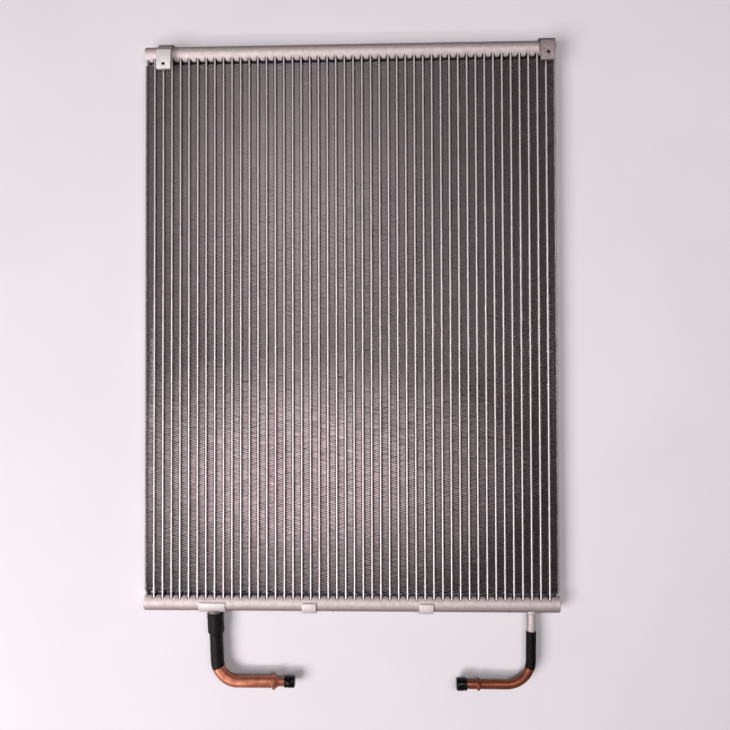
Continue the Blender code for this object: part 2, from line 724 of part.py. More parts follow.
def make_outlet(header, metal, copper, sleeve, rubber):
    """The outlet: plain stub, sleeve, pipe with a bead and cap."""
    route = PipeRoute(OUTLET_X, OUTLET_LEAN, OUTLET_DROP, OUTLET_BEND, -1)
    stub = OUTLET_STUB_DIAMETER / 2
    pipe = OUTLET_PIPE_DIAMETER / 2
    bore = stub - OUTLET_STUB_WALL
    ends = (OUTLET_STUB_IN, OUTLET_JOINT)
    make_turned("outlet_stub", route, [(s, stub) for s in ends], [(s, bore) for s in ends], metal)

    sleeve_bore = pipe + SHRINK_GAP
    ends = (OUTLET_SLEEVE_START, route.bend_stop(SLEEVED_BEND_STEPS))
    outside = [(s, sleeve_bore + SLIM_SLEEVE_WALL) for s in ends]
    make_turned("outlet_sleeve", route, outside, [(s, sleeve_bore) for s in ends], sleeve)

    tail = route.bend_end
    peak = tail + OUTLET_BEAD_AT
    half = OUTLET_BEAD_WIDTH / 2
    end = tail + OUTLET_CAP_AT + CAP_SOCKET - GAP
    start = OUTLET_JOINT + GAP
    outside = [
        (start, pipe),
        (peak - half, pipe),
        (peak, OUTLET_BEAD_DIAMETER / 2),
        (peak + half, pipe),
        (end, pipe),
    ]
    inner = pipe - OUTLET_PIPE_WALL
    make_turned("outlet_pipe", route, outside, [(start, inner), (end, inner)], copper)
    cap_bore = pipe + SHRINK_GAP
    cap_at = tail + OUTLET_CAP_AT
    make_pipe_cap("outlet_cap", route, cap_at, OUTLET_CAP_LENGTH, OUTLET_CAP_DIAMETER, cap_bore, rubber)

    inner_end, _ = route.at(OUTLET_STUB_IN - GAP)
    outer_end, _ = route.at(2 * HEADER_RADIUS)
    label = header.name + "_outlet_hole"
    cut(header, cylinder_cutter(label, stub + GAP, inner_end, outer_end, PIPE_SIDES, metal))


def build():
    clear_scene()
    header_metal = make_material("header_aluminium", (0.70, 0.66, 0.64), 0.55, 0.85)
    core_metal = make_material("core_aluminium", (0.46, 0.43, 0.43), 0.50, 0.85)
    bracket_metal = make_material("bracket_aluminium", (0.78, 0.74, 0.72), 0.60, 0.75)
    copper = make_material("copper", (0.55, 0.24, 0.14), 0.35, 0.95)
    sleeve = make_material("black_sleeve", (0.02, 0.018, 0.02), 0.70, 0.0)
    rubber = make_material("black_rubber", (0.01, 0.01, 0.01), 0.30, 0.0)

    upper = make_header("upper_header", UPPER_AXIS_Y, -1, header_metal)
    lower = make_header("lower_header", LOWER_AXIS_Y, 1, header_metal)
    for place, axis_y, towards in (("upper", UPPER_AXIS_Y, -1), ("lower", LOWER_AXIS_Y, 1)):
        for end, side in (("left", -1), ("right", 1)):
            make_end_cap(f"{place}_{end}_end_cap", side, axis_y, towards, header_metal)

    last = 0
    baffle_seats = ((lower, LOWER_AXIS_Y, 1), (upper, UPPER_AXIS_Y, -1))
    for number, tubes in enumerate(PASS_TUBES, start=1):
        first = last + 1
        last += tubes
        make_pass(f"core_pass_{number}", first, last, core_metal)
        if last < TUBE_COUNT:
            header, axis_y, towards = baffle_seats[(number - 1) % 2]
            make_baffle(f"baffle_{number}", last, header, axis_y, towards, header_metal)

    make_side_plate("left_side_plate", -1, core_metal)
    make_side_plate("right_side_plate", 1, core_metal)

    make_bracket("left_bracket", LEFT_BRACKET_X, LEFT_PAD_EDGE, LEFT_HOLE_FROM_END, bracket_metal)
    make_bracket("right_bracket", RIGHT_BRACKET_X, RIGHT_PAD_EDGE, RIGHT_HOLE_FROM_END, bracket_metal)
    for name, x in (("left_clip", LEFT_CLIP_X), ("right_clip", RIGHT_CLIP_X)):
        extrude_saddle(name, clip_outline(CLIP_WRAP), x, CLIP_WIDTH, LOWER_AXIS_Y, -1, bracket_metal)
    saddle = extrude_saddle(
        "inlet_saddle",
        clip_outline(INLET_SADDLE_WRAP),
        INLET_SADDLE_X,
        INLET_SADDLE_WIDTH,
        LOWER_AXIS_Y,
        -1,
        bracket_metal,
    )
    make_inlet(lower, saddle, header_metal, copper, sleeve, rubber)
    make_outlet(lower, header_metal, copper, sleeve, rubber)


build()
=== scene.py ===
"""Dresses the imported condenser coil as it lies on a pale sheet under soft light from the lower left.

Everything is in metres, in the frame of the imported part: X along the headers, Y across the core
towards the bracket side, Z out of the front face.
"""

import logging
import math
from collections.abc import Callable
from dataclasses import dataclass, field
from enum import Enum

import bmesh
import bpy
import numpy as np
from mathutils import Matrix, Vector


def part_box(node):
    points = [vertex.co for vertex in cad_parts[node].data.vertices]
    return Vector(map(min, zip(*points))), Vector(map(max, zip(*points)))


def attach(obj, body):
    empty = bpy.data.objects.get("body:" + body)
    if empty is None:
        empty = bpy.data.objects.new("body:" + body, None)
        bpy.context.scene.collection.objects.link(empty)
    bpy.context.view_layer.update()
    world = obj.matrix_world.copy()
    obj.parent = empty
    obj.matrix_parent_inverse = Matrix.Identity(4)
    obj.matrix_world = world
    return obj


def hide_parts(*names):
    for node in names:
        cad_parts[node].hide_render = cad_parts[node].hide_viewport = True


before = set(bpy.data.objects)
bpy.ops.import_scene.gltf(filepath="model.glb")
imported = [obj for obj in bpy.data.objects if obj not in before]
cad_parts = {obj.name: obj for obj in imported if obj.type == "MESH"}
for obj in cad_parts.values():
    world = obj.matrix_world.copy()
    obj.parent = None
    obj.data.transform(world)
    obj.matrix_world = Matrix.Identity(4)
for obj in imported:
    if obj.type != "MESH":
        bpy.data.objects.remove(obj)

LOG = logging.getLogger("condenser_coil")
MM = 0.001
BODY = "root"
Colour = tuple[float, float, float]
BLACK: Colour = (0.004, 0.003, 0.003)
WELD = 0.001 * MM
NODE_WELD = 0.002 * MM


class Slot(Enum):
    """The record's material slots."""

    HEADER = "header_aluminium"
    CORE = "core_aluminium"
    BRACKET = "bracket_aluminium"
    COPPER = "copper"
    SLEEVE = "black_sleeve"
    RUBBER = "black_rubber"


class Side(Enum):
    """The two headers, with the direction across the core in which each one's tubes lie."""

    UPPER = -1
    LOWER = 1


@dataclass(frozen=True)
class CoilFrame:
    """Places that every piece is set by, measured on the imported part.

    Attributes:
        core_y: Middle of the core along the tubes.
        axis_z: Height of the headers' axes.
        header_offset: Distance from the core's middle to a header's axis.
        half_length: Half of the headers' length.
    """

    core_y: float
    axis_z: float
    header_offset: float
    half_length: float

    @classmethod
    def measure(cls) -> "CoilFrame":
        """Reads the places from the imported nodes.

        Returns:
            The measured frame.
        """
        low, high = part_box("core_pass_1")
        cap_low, cap_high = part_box("lower_right_end_cap")
        tube_end_from_axis = 1.6 * MM
        return cls(
            core_y=(low.y + high.y) / 2,
            axis_z=(cap_low.z + cap_high.z) / 2,
            header_offset=(high.y - low.y) / 2 + tube_end_from_axis,
            half_length=cap_high.x,
        )

    def axis_y(self, side: Side) -> float:
        """Y of a header's axis."""
        return self.core_y - side.value * self.header_offset


class NodeBoard:
    """A material under construction, with short calls for the nodes that the finishes share."""

    def __init__(self, name: str) -> None:
        """Starts a material with a Principled shader.

        Args:
            name: The material's name.
        """
        self.material = bpy.data.materials.new(name)
        self.material.use_nodes = True
        self.tree = self.material.node_tree
        self.shader = self.tree.nodes["Principled BSDF"]
        self.coordinates = self.tree.nodes.new("ShaderNodeTexCoord")

    def set(self, socket: str, value: float) -> None:
        """Sets one of the shader's own sockets."""
        self.shader.inputs[socket].default_value = value

    def scaled(self, scale: tuple[float, float, float]) -> bpy.types.NodeSocket:
        """Object coordinates stretched by a Mapping node.

        Args:
            scale: Scale along X, Y and Z.

        Returns:
            The mapped vector.
        """
        mapping = self.tree.nodes.new("ShaderNodeMapping")
        mapping.inputs["Scale"].default_value = scale
        self.tree.links.new(self.coordinates.outputs["Object"], mapping.inputs["Vector"])
        return mapping.outputs["Vector"]

    def noise(
        self,
        size: float,
        detail: float = 4.0,
        roughness: float = 0.55,
        stretch: tuple[float, float, float] = (1.0, 1.0, 1.0),
    ) -> bpy.types.NodeSocket:
        """Noise whose spots have a real size.

        Args:
            size: Rough width of a spot, in metres.
            detail: Octaves.
            roughness: Weight of the fine octaves.
            stretch: How much longer the spots are along X, Y and Z.

        Returns:
            The noise factor.
        """
        node = self.tree.nodes.new("ShaderNodeTexNoise")
        node.inputs["Scale"].default_value = 1 / size
        node.inputs["Detail"].default_value = detail
        node.inputs["Roughness"].default_value = roughness
        self.tree.links.new(self.scaled(tuple(1 / s for s in stretch)), node.inputs["Vector"])
        return node.outputs["Fac"]

    def ramp(
        self, factor: bpy.types.NodeSocket, stops: list[tuple[float, Colour]]
    ) -> bpy.types.NodeSocket:
        """A colour ramp.

        Args:
            factor: What the ramp reads.
            stops: Positions and their colours.

        Returns:
            The ramp's colour.
        """
        node = self.tree.nodes.new("ShaderNodeValToRGB")
        elements = node.color_ramp.elements
        while len(elements) < len(stops):
            elements.new(0.5)
        for element, (position, colour) in zip(elements, stops):
            element.position = position
            element.color = (*colour, 1)
        self.tree.links.new(factor, node.inputs["Fac"])
        return node.outputs["Color"]

    def range(
        self, factor: bpy.types.NodeSocket, low: float, high: float, start: float = 0.3, stop: float = 0.7
    ) -> bpy.types.NodeSocket:
        """Maps a factor to a range of values.

        Args:
            factor: What is mapped.
            low: Value at the start.
            high: Value at the stop.
            start: Factor that gives the low value.
            stop: Factor that gives the high value.

        Returns:
            The mapped value.
        """
        node = self.tree.nodes.new("ShaderNodeMapRange")
        node.inputs["From Min"].default_value = start
        node.inputs["From Max"].default_value = stop
        node.inputs["To Min"].default_value = low
        node.inputs["To Max"].default_value = high
        self.tree.links.new(factor, node.inputs["Value"])
        return node.outputs["Result"]

    def mix(
        self,
        factor: bpy.types.NodeSocket,
        first: bpy.types.NodeSocket | Colour,
        second: bpy.types.NodeSocket | Colour,
        blend: str = "MIX",
    ) -> bpy.types.NodeSocket:
        """Mixes two colours.

        Args:
            factor: Share of the second colour.
            first: Socket or plain colour.
            second: Socket or plain colour.
            blend: Blend type.

        Returns:
            The mixed colour.
        """
        node = self.tree.nodes.new("ShaderNodeMix")
        node.data_type = "RGBA"
        node.blend_type = blend
        self.tree.links.new(factor, node.inputs["Factor"])
        for socket, value in ((node.inputs[6], first), (node.inputs[7], second)):
            if isinstance(value, bpy.types.NodeSocket):
                self.tree.links.new(value, socket)
            else:
                socket.default_value = (*value, 1)
        return node.outputs[2]

    def math(
        self,
        operation: str,
        first: bpy.types.NodeSocket,
        second: bpy.types.NodeSocket | float,
    ) -> bpy.types.NodeSocket:
        """One Math node.

        Args:
            operation: The node's operation.
            first: First input.
            second: Second input, a socket or a number.

        Returns:
            The result.
        """
        node = self.tree.nodes.new("ShaderNodeMath")
        node.operation = operation
        self.tree.links.new(first, node.inputs[0])
        if isinstance(second, bpy.types.NodeSocket):
            self.tree.links.new(second, node.inputs[1])
        else:
            node.inputs[1].default_value = second
        return node.outputs["Value"]

    def patch(self, centre: tuple[float, float], reach: tuple[float, float]) -> bpy.types.NodeSocket:
        """A soft round patch seen along Z: 1 in its middle, 0 at its reach and beyond.

        Args:
            centre: X and Y of the middle, in metres.
            reach: Half widths along X and Y, in metres.

        Returns:
            The patch's strength.
        """
        mapping = self.tree.nodes.new("ShaderNodeMapping")
        mapping.inputs["Location"].default_value = (-centre[0] / reach[0], -centre[1] / reach[1], 0)
        mapping.inputs["Scale"].default_value = (1 / reach[0], 1 / reach[1], 0)
        self.tree.links.new(self.coordinates.outputs["Object"], mapping.inputs["Vector"])
        node = self.tree.nodes.new("ShaderNodeTexGradient")
        node.gradient_type = "SPHERICAL"
        self.tree.links.new(mapping.outputs["Vector"], node.inputs["Vector"])
        return node.outputs["Fac"]

    def axis(self, name: str) -> bpy.types.NodeSocket:
        """One of the Object coordinates.

        Args:
            name: X, Y or Z.

        Returns:
            The coordinate.
        """
        node = self.tree.nodes.new("ShaderNodeSeparateXYZ")
        self.tree.links.new(self.coordinates.outputs["Object"], node.inputs["Vector"])
        return node.outputs[name]

    def colour(self, socket: bpy.types.NodeSocket) -> None:
        """Feeds the base colour."""
        self.tree.links.new(socket, self.shader.inputs["Base Color"])

    def roughness(self, socket: bpy.types.NodeSocket) -> None:
        """Feeds the roughness."""
        self.tree.links.new(socket, self.shader.inputs["Roughness"])

    def bump(self, heights: list[tuple[bpy.types.NodeSocket, float]]) -> None:
        """Chains bump nodes into the shader's normal.

        Args:
            heights: Height factors, each with its depth in metres.
        """
        previous = None
        for socket, depth in heights:
            node = self.tree.nodes.new("ShaderNodeBump")
            node.inputs["Strength"].default_value = 1.0
            node.inputs["Distance"].default_value = depth
            self.tree.links.new(socket, node.inputs["Height"])
            if previous is not None:
                self.tree.links.new(previous, node.inputs["Normal"])
            previous = node.outputs["Normal"]
        self.tree.links.new(previous, self.shader.inputs["Normal"])


@dataclass(frozen=True)
class MilledAluminium:
    """Drawn and brazed aluminium: grey mottling, faint draw lines and a fine grain, with optional painted
    shade.

    Attributes:
        name: Material name.
        light: Colour of the clean metal.
        dark: Colour of the brazing stains.
        metallic: Metallic value.
        rough_low: Roughness of the smooth patches.
        rough_high: Roughness of the matte patches.
        mottle: Width of a stain, in metres.
        grain: Width of the grain, in metres.
        grain_depth: Height of the grain, in metres.
        along: Stretch of the draw lines along X, Y and Z.
        stain: Weight of the dark draw lines.
        bright_above: Height above which there is no painted shade, or 0 if there is none.
        fade: How far below that height the painted shade reaches its darkest.
        painted_shade: Share of the colour that is left there.
        middle_y: Y of the middle between the headers.
        unshaded_within: Distance from that middle within which there is no painted shade, or 0.
        shaded_beyond: Distance from that middle at which the painted shade is darkest.
        outer_shade: Colour of that painted shade.
        right_shade: How much painted shade darkens the metal at the right end.
        reach_x: Distance from X = 0 to the ends.
        upper_shade: How much painted shade darkens the upper header.
        flank: Distance from the middle within which the wall faces the fins.
        flank_shade: How much painted shade darkens that wall.
        flank_edge: Distance over which that shade sets in.
        middle_edge: Distance over which the upper header's shade sets in.
    """

    name: str
    light: Colour
    dark: Colour
    metallic: float
    rough_low: float
    rough_high: float
    mottle: float = 5 * MM
    grain: float = 0.5 * MM
    grain_depth: float = 0.02 * MM
    along: tuple[float, float, float] = (1.0, 1.0, 1.0)
    stain: float = 0.35
    bright_above: float = 0.0
    fade: float = 0.9 * MM
    painted_shade: float = 0.10
    middle_y: float = 0.0
    unshaded_within: float = 0.0
    shaded_beyond: float = 0.0
    outer_shade: Colour = (0.155, 0.105, 0.10)
    right_shade: float = 0.0
    reach_x: float = 214.0 * MM
    upper_shade: float = 0.0
    flank: float = 0.0
    flank_shade: float = 0.8
    flank_edge: float = 0.6 * MM
    middle_edge: float = 10 * MM

    def make(self) -> bpy.types.Material:
        """Builds the material.

        Returns:
            The material.
        """
        board = NodeBoard(self.name)
        board.set("Metallic", self.metallic)
        patches = board.noise(self.mottle, detail=6, roughness=0.65)
        streaks = board.noise(self.grain * 2, detail=3, stretch=self.along)
        grain = board.noise(self.grain, detail=2)
        base = board.ramp(patches, [(0.34, self.dark), (0.62, self.light)])
        skin = board.mix(board.range(streaks, 0.0, self.stain), base, self.dark)
        # Painted shade below a height: the tubes' sides darken deep in the core.
        if self.bright_above:
            painted_shade = tuple(self.painted_shade * part for part in self.dark)
            low = self.bright_above - self.fade
            skin = board.mix(board.range(board.axis("Z"), 0.0, 1.0, low, self.bright_above), painted_shade, skin)
        # Painted shade on the outer flank, away from the core, and on the wall that faces the fins.
        if self.unshaded_within:
            away = board.math("SUBTRACT", board.axis("Y"), self.middle_y)
            away = board.math("ABSOLUTE", away, 0.0)
            outward = board.range(away, 0.0, 1.0, self.unshaded_within, self.shaded_beyond)
            skin = board.mix(outward, skin, self.outer_shade)
            inward = board.range(away, self.flank_shade, 0.0, self.flank - self.flank_edge, self.flank)
            skin = board.mix(inward, skin, BLACK)
        # Painted shade towards the right end.
        if self.right_shade:
            across = board.axis("X")
            rightward = board.range(across, 0.0, self.right_shade, -self.reach_x, self.reach_x)
            skin = board.mix(rightward, skin, BLACK)
        # Painted shade on the upper header.
        if self.upper_shade:
            above = self.middle_y + self.middle_edge
            upward = board.range(board.axis("Y"), 0.0, self.upper_shade, self.middle_y, above)
            skin = board.mix(upward, skin, BLACK)
        board.colour(skin)
        board.roughness(board.range(patches, self.rough_high, self.rough_low))
        board.bump([(streaks, self.grain_depth), (grain, self.grain_depth)])
        return board.material


@dataclass(frozen=True)
class FinFoil:
    """Thin fin foil with bright cut edges, soft patches of painted light, and painted shade deep down,
    beside the tubes and past a strip's end.

    Attributes:
        name: Material name.
        cool: Colour of the greyer strips.
        warm: Colour of the pinker strips.
        shade: Colour of the painted shade, where the painted light is low.
        deep: Colour of the painted shade far down between the legs and in the margins.
        edge: Colour of the cut edges, partly a painted highlight that is stronger where the painted light
            is.
        base: Share of painted light away from the patches.
        painted_light_patches: Soft patches of painted light, each with its middle, its reach and its
            strength.
        front: Height of the core's front face.
        pitch: Distance between two tubes, with a strip's middle at X = 0.
        clear: Distance from a strip's middle at which its margin of painted shade begins.
        shift: How much wider the margin on the left is than the one on the right.
        margin: How dark that painted shade in the margin is.
        middle_y: Y of the core's middle.
        reach: Distance from there beyond which the foil is painted black as shade, just short of a
            strip's last fold.
        drift: Width of the greyer and pinker strips.
        grain: Width of the grain.
        dent: Height of the grain.
        gloss: Strength of its reflections.
    """

    name: str = "fin_foil"
    cool: Colour = (1.0, 0.89, 0.885)
    warm: Colour = (1.0, 0.84, 0.865)
    shade: Colour = (0.044, 0.021, 0.026)
    deep: Colour = (0.022, 0.012, 0.015)
    edge: Colour = (0.85, 0.79, 0.79)
    base: float = 0.038
    # Patches of painted light: middle, reach and strength.
    painted_light_patches: tuple[tuple[tuple[float, float], tuple[float, float], float], ...] = (
        ((-50 * MM, 20 * MM), (250 * MM, 560 * MM), 0.42),
        ((-60 * MM, -120 * MM), (255 * MM, 135 * MM), 1.05),
        ((-65 * MM, 175 * MM), (150 * MM, 190 * MM), 0.26),
    )
    front: float = 17.0 * MM
    pitch: float = 9.05 * MM
    clear: float = 2.5 * MM
    shift: float = 0.35 * MM
    margin: float = 0.9
    middle_y: float = 39.6 * MM
    reach: float = 274.2 * MM
    drift: float = 14 * MM
    grain: float = 1.6 * MM
    dent: float = 0.02 * MM
    gloss: float = 0.3

    def make(self) -> bpy.types.Material:
        """Builds the material.

        Returns:
            The material.
        """
        board = NodeBoard(self.name)
        board.set("Metallic", 0.15)
        board.set("Specular IOR Level", self.gloss)
        strips = board.noise(self.drift, detail=2, stretch=(1, 16, 1))
        grain = board.noise(self.grain, detail=4, roughness=0.7)
        metal = board.ramp(strips, [(0.40, self.cool), (0.60, self.warm)])
        # Painted light: a base share plus soft patches, mixing from the painted shade colour to the bare
        # metal.
        painted_light = board.range(grain, self.base - 0.05, self.base + 0.05)
        for centre, reach, strength in self.painted_light_patches:
            painted_light = board.math("ADD", painted_light, board.math("MULTIPLY", board.patch(centre, reach), strength))
        height = board.axis("Z")
        skin = board.mix(painted_light, self.shade, metal)
        # Painted shade deep down between the legs.
        depth = board.range(height, 0.0, 1.0, self.front - 6.0 * MM, self.front - 2.6 * MM)
        skin = board.mix(depth, self.deep, skin)
        # Bright cut edges, partly a painted highlight that follows the painted light.
        rim = board.range(height, 0.0, 0.45, self.front - 0.3 * MM, self.front - 0.05 * MM)
        rim = board.math("MULTIPLY", rim, board.range(painted_light, 0.4, 1.0, 0.0, 0.5))
        skin = board.mix(rim, skin, self.edge)
        # Painted shade in a dark margin beside each tube, wider on the left.
        across = board.math("SUBTRACT", board.axis("X"), self.shift)
        across = board.math("PINGPONG", across, self.pitch / 2)
        margin = board.range(across, 0.0, self.margin, self.clear, self.clear + 0.4 * MM)
        skin = board.mix(margin, skin, self.deep)
        # Painted black as shade past a strip's last fold.
        away = board.math("ABSOLUTE", board.math("SUBTRACT", board.axis("Y"), self.middle_y), 0.0)
        end = board.range(away, 0.0, 1.0, self.reach, self.reach + 0.3 * MM)
        board.colour(board.mix(end, skin, BLACK))
        board.roughness(board.range(grain, 0.38, 0.56))
        board.bump([(grain, self.dent)])
        return board.material


@dataclass(frozen=True)
class BlastedAluminium:
    """Cast brackets with a bright blasted skin, and painted shade low down, on the strap and in the screw
    hole.

    Attributes:
        name: Material name.
        light: Colour of the raised grains.
        dark: Colour of the pits.
        grain: Width of a grain, in metres.
        low: Height at which the painted shade is darkest.
        high: Height above which there is no painted shade.
        hole: X and Y of a screw hole whose wall is painted black as shade, if there is one.
        hole_reach: Distance from its middle at which that painted black ends.
        strap_from: Y at which the pad ends and the strap with painted shade begins, or 0.
        cloud: Width of the darker clouds.
        pit: Depth of the pits.
        painted_shade: Share of the dark colour that is left low down, as painted shade.
        strap_shade: Share of it that is left on the strap, as painted shade.
    """

    name: str = "bracket_blasted"
    light: Colour = (0.98, 0.91, 0.90)
    dark: Colour = (0.74, 0.67, 0.66)
    grain: float = 0.45 * MM
    low: float = 9.0 * MM
    high: float = 21.0 * MM
    hole: tuple[float, float] | None = None
    hole_reach: float = 2.0 * MM
    strap_from: float = 0.0
    cloud: float = 4 * MM
    pit: float = 0.09 * MM
    painted_shade: float = 0.3
    strap_shade: float = 0.25

    def make(self) -> bpy.types.Material:
        """Builds the material.

        Returns:
            The material.
        """
        board = NodeBoard(self.name)
        board.set("Metallic", 0.35)
        grain = board.noise(self.grain, detail=4, roughness=0.7)
        cloud = board.noise(self.cloud, detail=3)
        base = board.ramp(grain, [(0.35, self.dark), (0.6, self.light)])
        skin = board.mix(board.range(cloud, 0.0, 0.4), base, self.dark)
        # Painted shade low down on the piece.
        painted_shade = tuple(self.painted_shade * part for part in self.dark)
        rise = board.range(board.axis("Z"), 0.0, 1.0, self.low, self.high)
        skin = board.mix(rise, painted_shade, skin)
        # Painted black as shade inside the screw hole.
        if self.hole is not None:
            near = board.patch(self.hole, (self.hole_reach, self.hole_reach))
            skin = board.mix(board.range(near, 0.0, 1.0, 0.12, 0.22), skin, BLACK)
        # Painted shade on the strap past the pad.
        if self.strap_from:
            strap = board.range(board.axis("Y"), 0.0, 0.8, self.strap_from, self.strap_from + 0.5 * MM)
            skin = board.mix(strap, skin, tuple(self.strap_shade * part for part in self.dark))
        board.colour(skin)
        board.roughness(board.range(grain, 0.75, 0.5))
        board.bump([(grain, self.pit)])
        return board.material


@dataclass(frozen=True)
class BrazedCopper:
    """Drawn copper tube with a brown tarnish and heat stains, and painted shade on its lower sides.

    Attributes:
        name: Material name.
        bright: Colour of the handled metal.
        brown: Colour of the tarnish.
        stain: Colour of the heat stains, and of the painted shade on the lower sides.
        side_height: Height below which the painted shade is full.
        crown_height: Height above which there is no painted shade.
        cloud: Width of the tarnish clouds.
        speck: Width of the specks.
        dent: Depth of the specks.
    """

    name: str = "copper_tarnished"
    bright: Colour = (0.78, 0.295, 0.18)
    brown: Colour = (0.42, 0.14, 0.075)
    stain: Colour = (0.10, 0.04, 0.025)
    side_height: float = 10.0 * MM
    crown_height: float = 14.5 * MM
    cloud: float = 9 * MM
    speck: float = 1.2 * MM
    dent: float = 0.03 * MM

    def make(self) -> bpy.types.Material:
        """Builds the material.

        Returns:
            The material.
        """
        board = NodeBoard(self.name)
        board.set("Metallic", 0.7)
        cloud = board.noise(self.cloud, detail=6, roughness=0.6)
        specks = board.noise(self.speck, detail=4, roughness=0.7)
        base = board.ramp(cloud, [(0.30, self.brown), (0.68, self.bright)])
        skin = board.mix(board.range(specks, 0.0, 0.7, 0.5, 0.7), base, self.stain)
        # Painted shade on the pipe's lower sides, in the stains' colour.
        rise = board.range(board.axis("Z"), 0.0, 1.0, self.side_height, self.crown_height)
        board.colour(board.mix(rise, self.stain, skin))
        board.roughness(board.range(cloud, 0.52, 0.40))
        board.bump([(specks, self.dent)])
        return board.material


@dataclass(frozen=True)
class ShrinkSleeve:
    """Black heat-shrink sleeve: matte, with dusty rubs.

    Attributes:
        name: Material name.
        black: Colour of the plastic.
        dust: Colour of the rubbed places.
        gloss: Strength of its reflections.
        rub: Width of a rubbed place.
        grain: Width of the grain.
        fold_depth: Depth of its small folds.
        grain_depth: Depth of the grain.
    """

    name: str = "sleeve_black"
    black: Colour = (0.007, 0.005, 0.005)
    dust: Colour = (0.026, 0.018, 0.020)
    gloss: float = 0.17
    rub: float = 2.5 * MM
    grain: float = 0.35 * MM
    fold_depth: float = 0.45 * MM
    grain_depth: float = 0.05 * MM

    def make(self) -> bpy.types.Material:
        """Builds the material.

        Returns:
            The material.
        """
        board = NodeBoard(self.name)
        rubs = board.noise(self.rub, detail=6, roughness=0.7)
        grain = board.noise(self.grain, detail=3)
        board.colour(board.ramp(rubs, [(0.50, self.black), (0.74, self.dust)]))
        board.set("Specular IOR Level", self.gloss)
        board.roughness(board.range(rubs, 0.42, 0.62))
        board.bump([(rubs, self.fold_depth), (grain, self.grain_depth)])
        return board.material


@dataclass(frozen=True)
class GlossRubber:
    """Soft black caps with a gloss.

    Attributes:
        name: Material name.
        black: Colour of the rubber.
        bloom: Colour of the faint bloom on it.
        gloss: Strength of its reflections.
        cloud: Width of the bloom's spots.
        dent: Depth of its dents.
    """

    name: str = "cap_black"
    black: Colour = (0.004, 0.004, 0.0045)
    bloom: Colour = (0.010, 0.008, 0.009)
    gloss: float = 0.18
    cloud: float = 2 * MM
    dent: float = 0.10 * MM

    def make(self) -> bpy.types.Material:
        """Builds the material.

        Returns:
            The material.
        """
        board = NodeBoard(self.name)
        cloud = board.noise(self.cloud, detail=4)
        board.colour(board.ramp(cloud, [(0.42, self.black), (0.72, self.bloom)]))
        board.set("Specular IOR Level", self.gloss)
        board.roughness(board.range(cloud, 0.10, 0.24))
        board.bump([(cloud, self.dent)])
        return board.material


@dataclass(frozen=True)
class PaleSheet:
    """The pale surface that the coil lies on.

    Attributes:
        name: Material name.
        colour: The sheet's colour.
        shade: Its colour in the faint clouds.
        cloud: Width of those clouds.
        swell: Height of its faint waves.
    """

    name: str = "pale_sheet"
    colour: Colour = (0.90, 0.855, 0.895)
    shade: Colour = (0.87, 0.82, 0.86)
    cloud: float = 180 * MM
    swell: float = 0.4 * MM

    def make(self) -> bpy.types.Material:
        """Builds the material.

        Returns:
            The material.
        """
        board = NodeBoard(self.name)
        cloud = board.noise(self.cloud, detail=3)
        board.colour(board.ramp(cloud, [(0.35, self.shade), (0.65, self.colour)]))
        board.set("Roughness", 0.75)
        board.bump([(cloud, self.swell)])
        return board.material


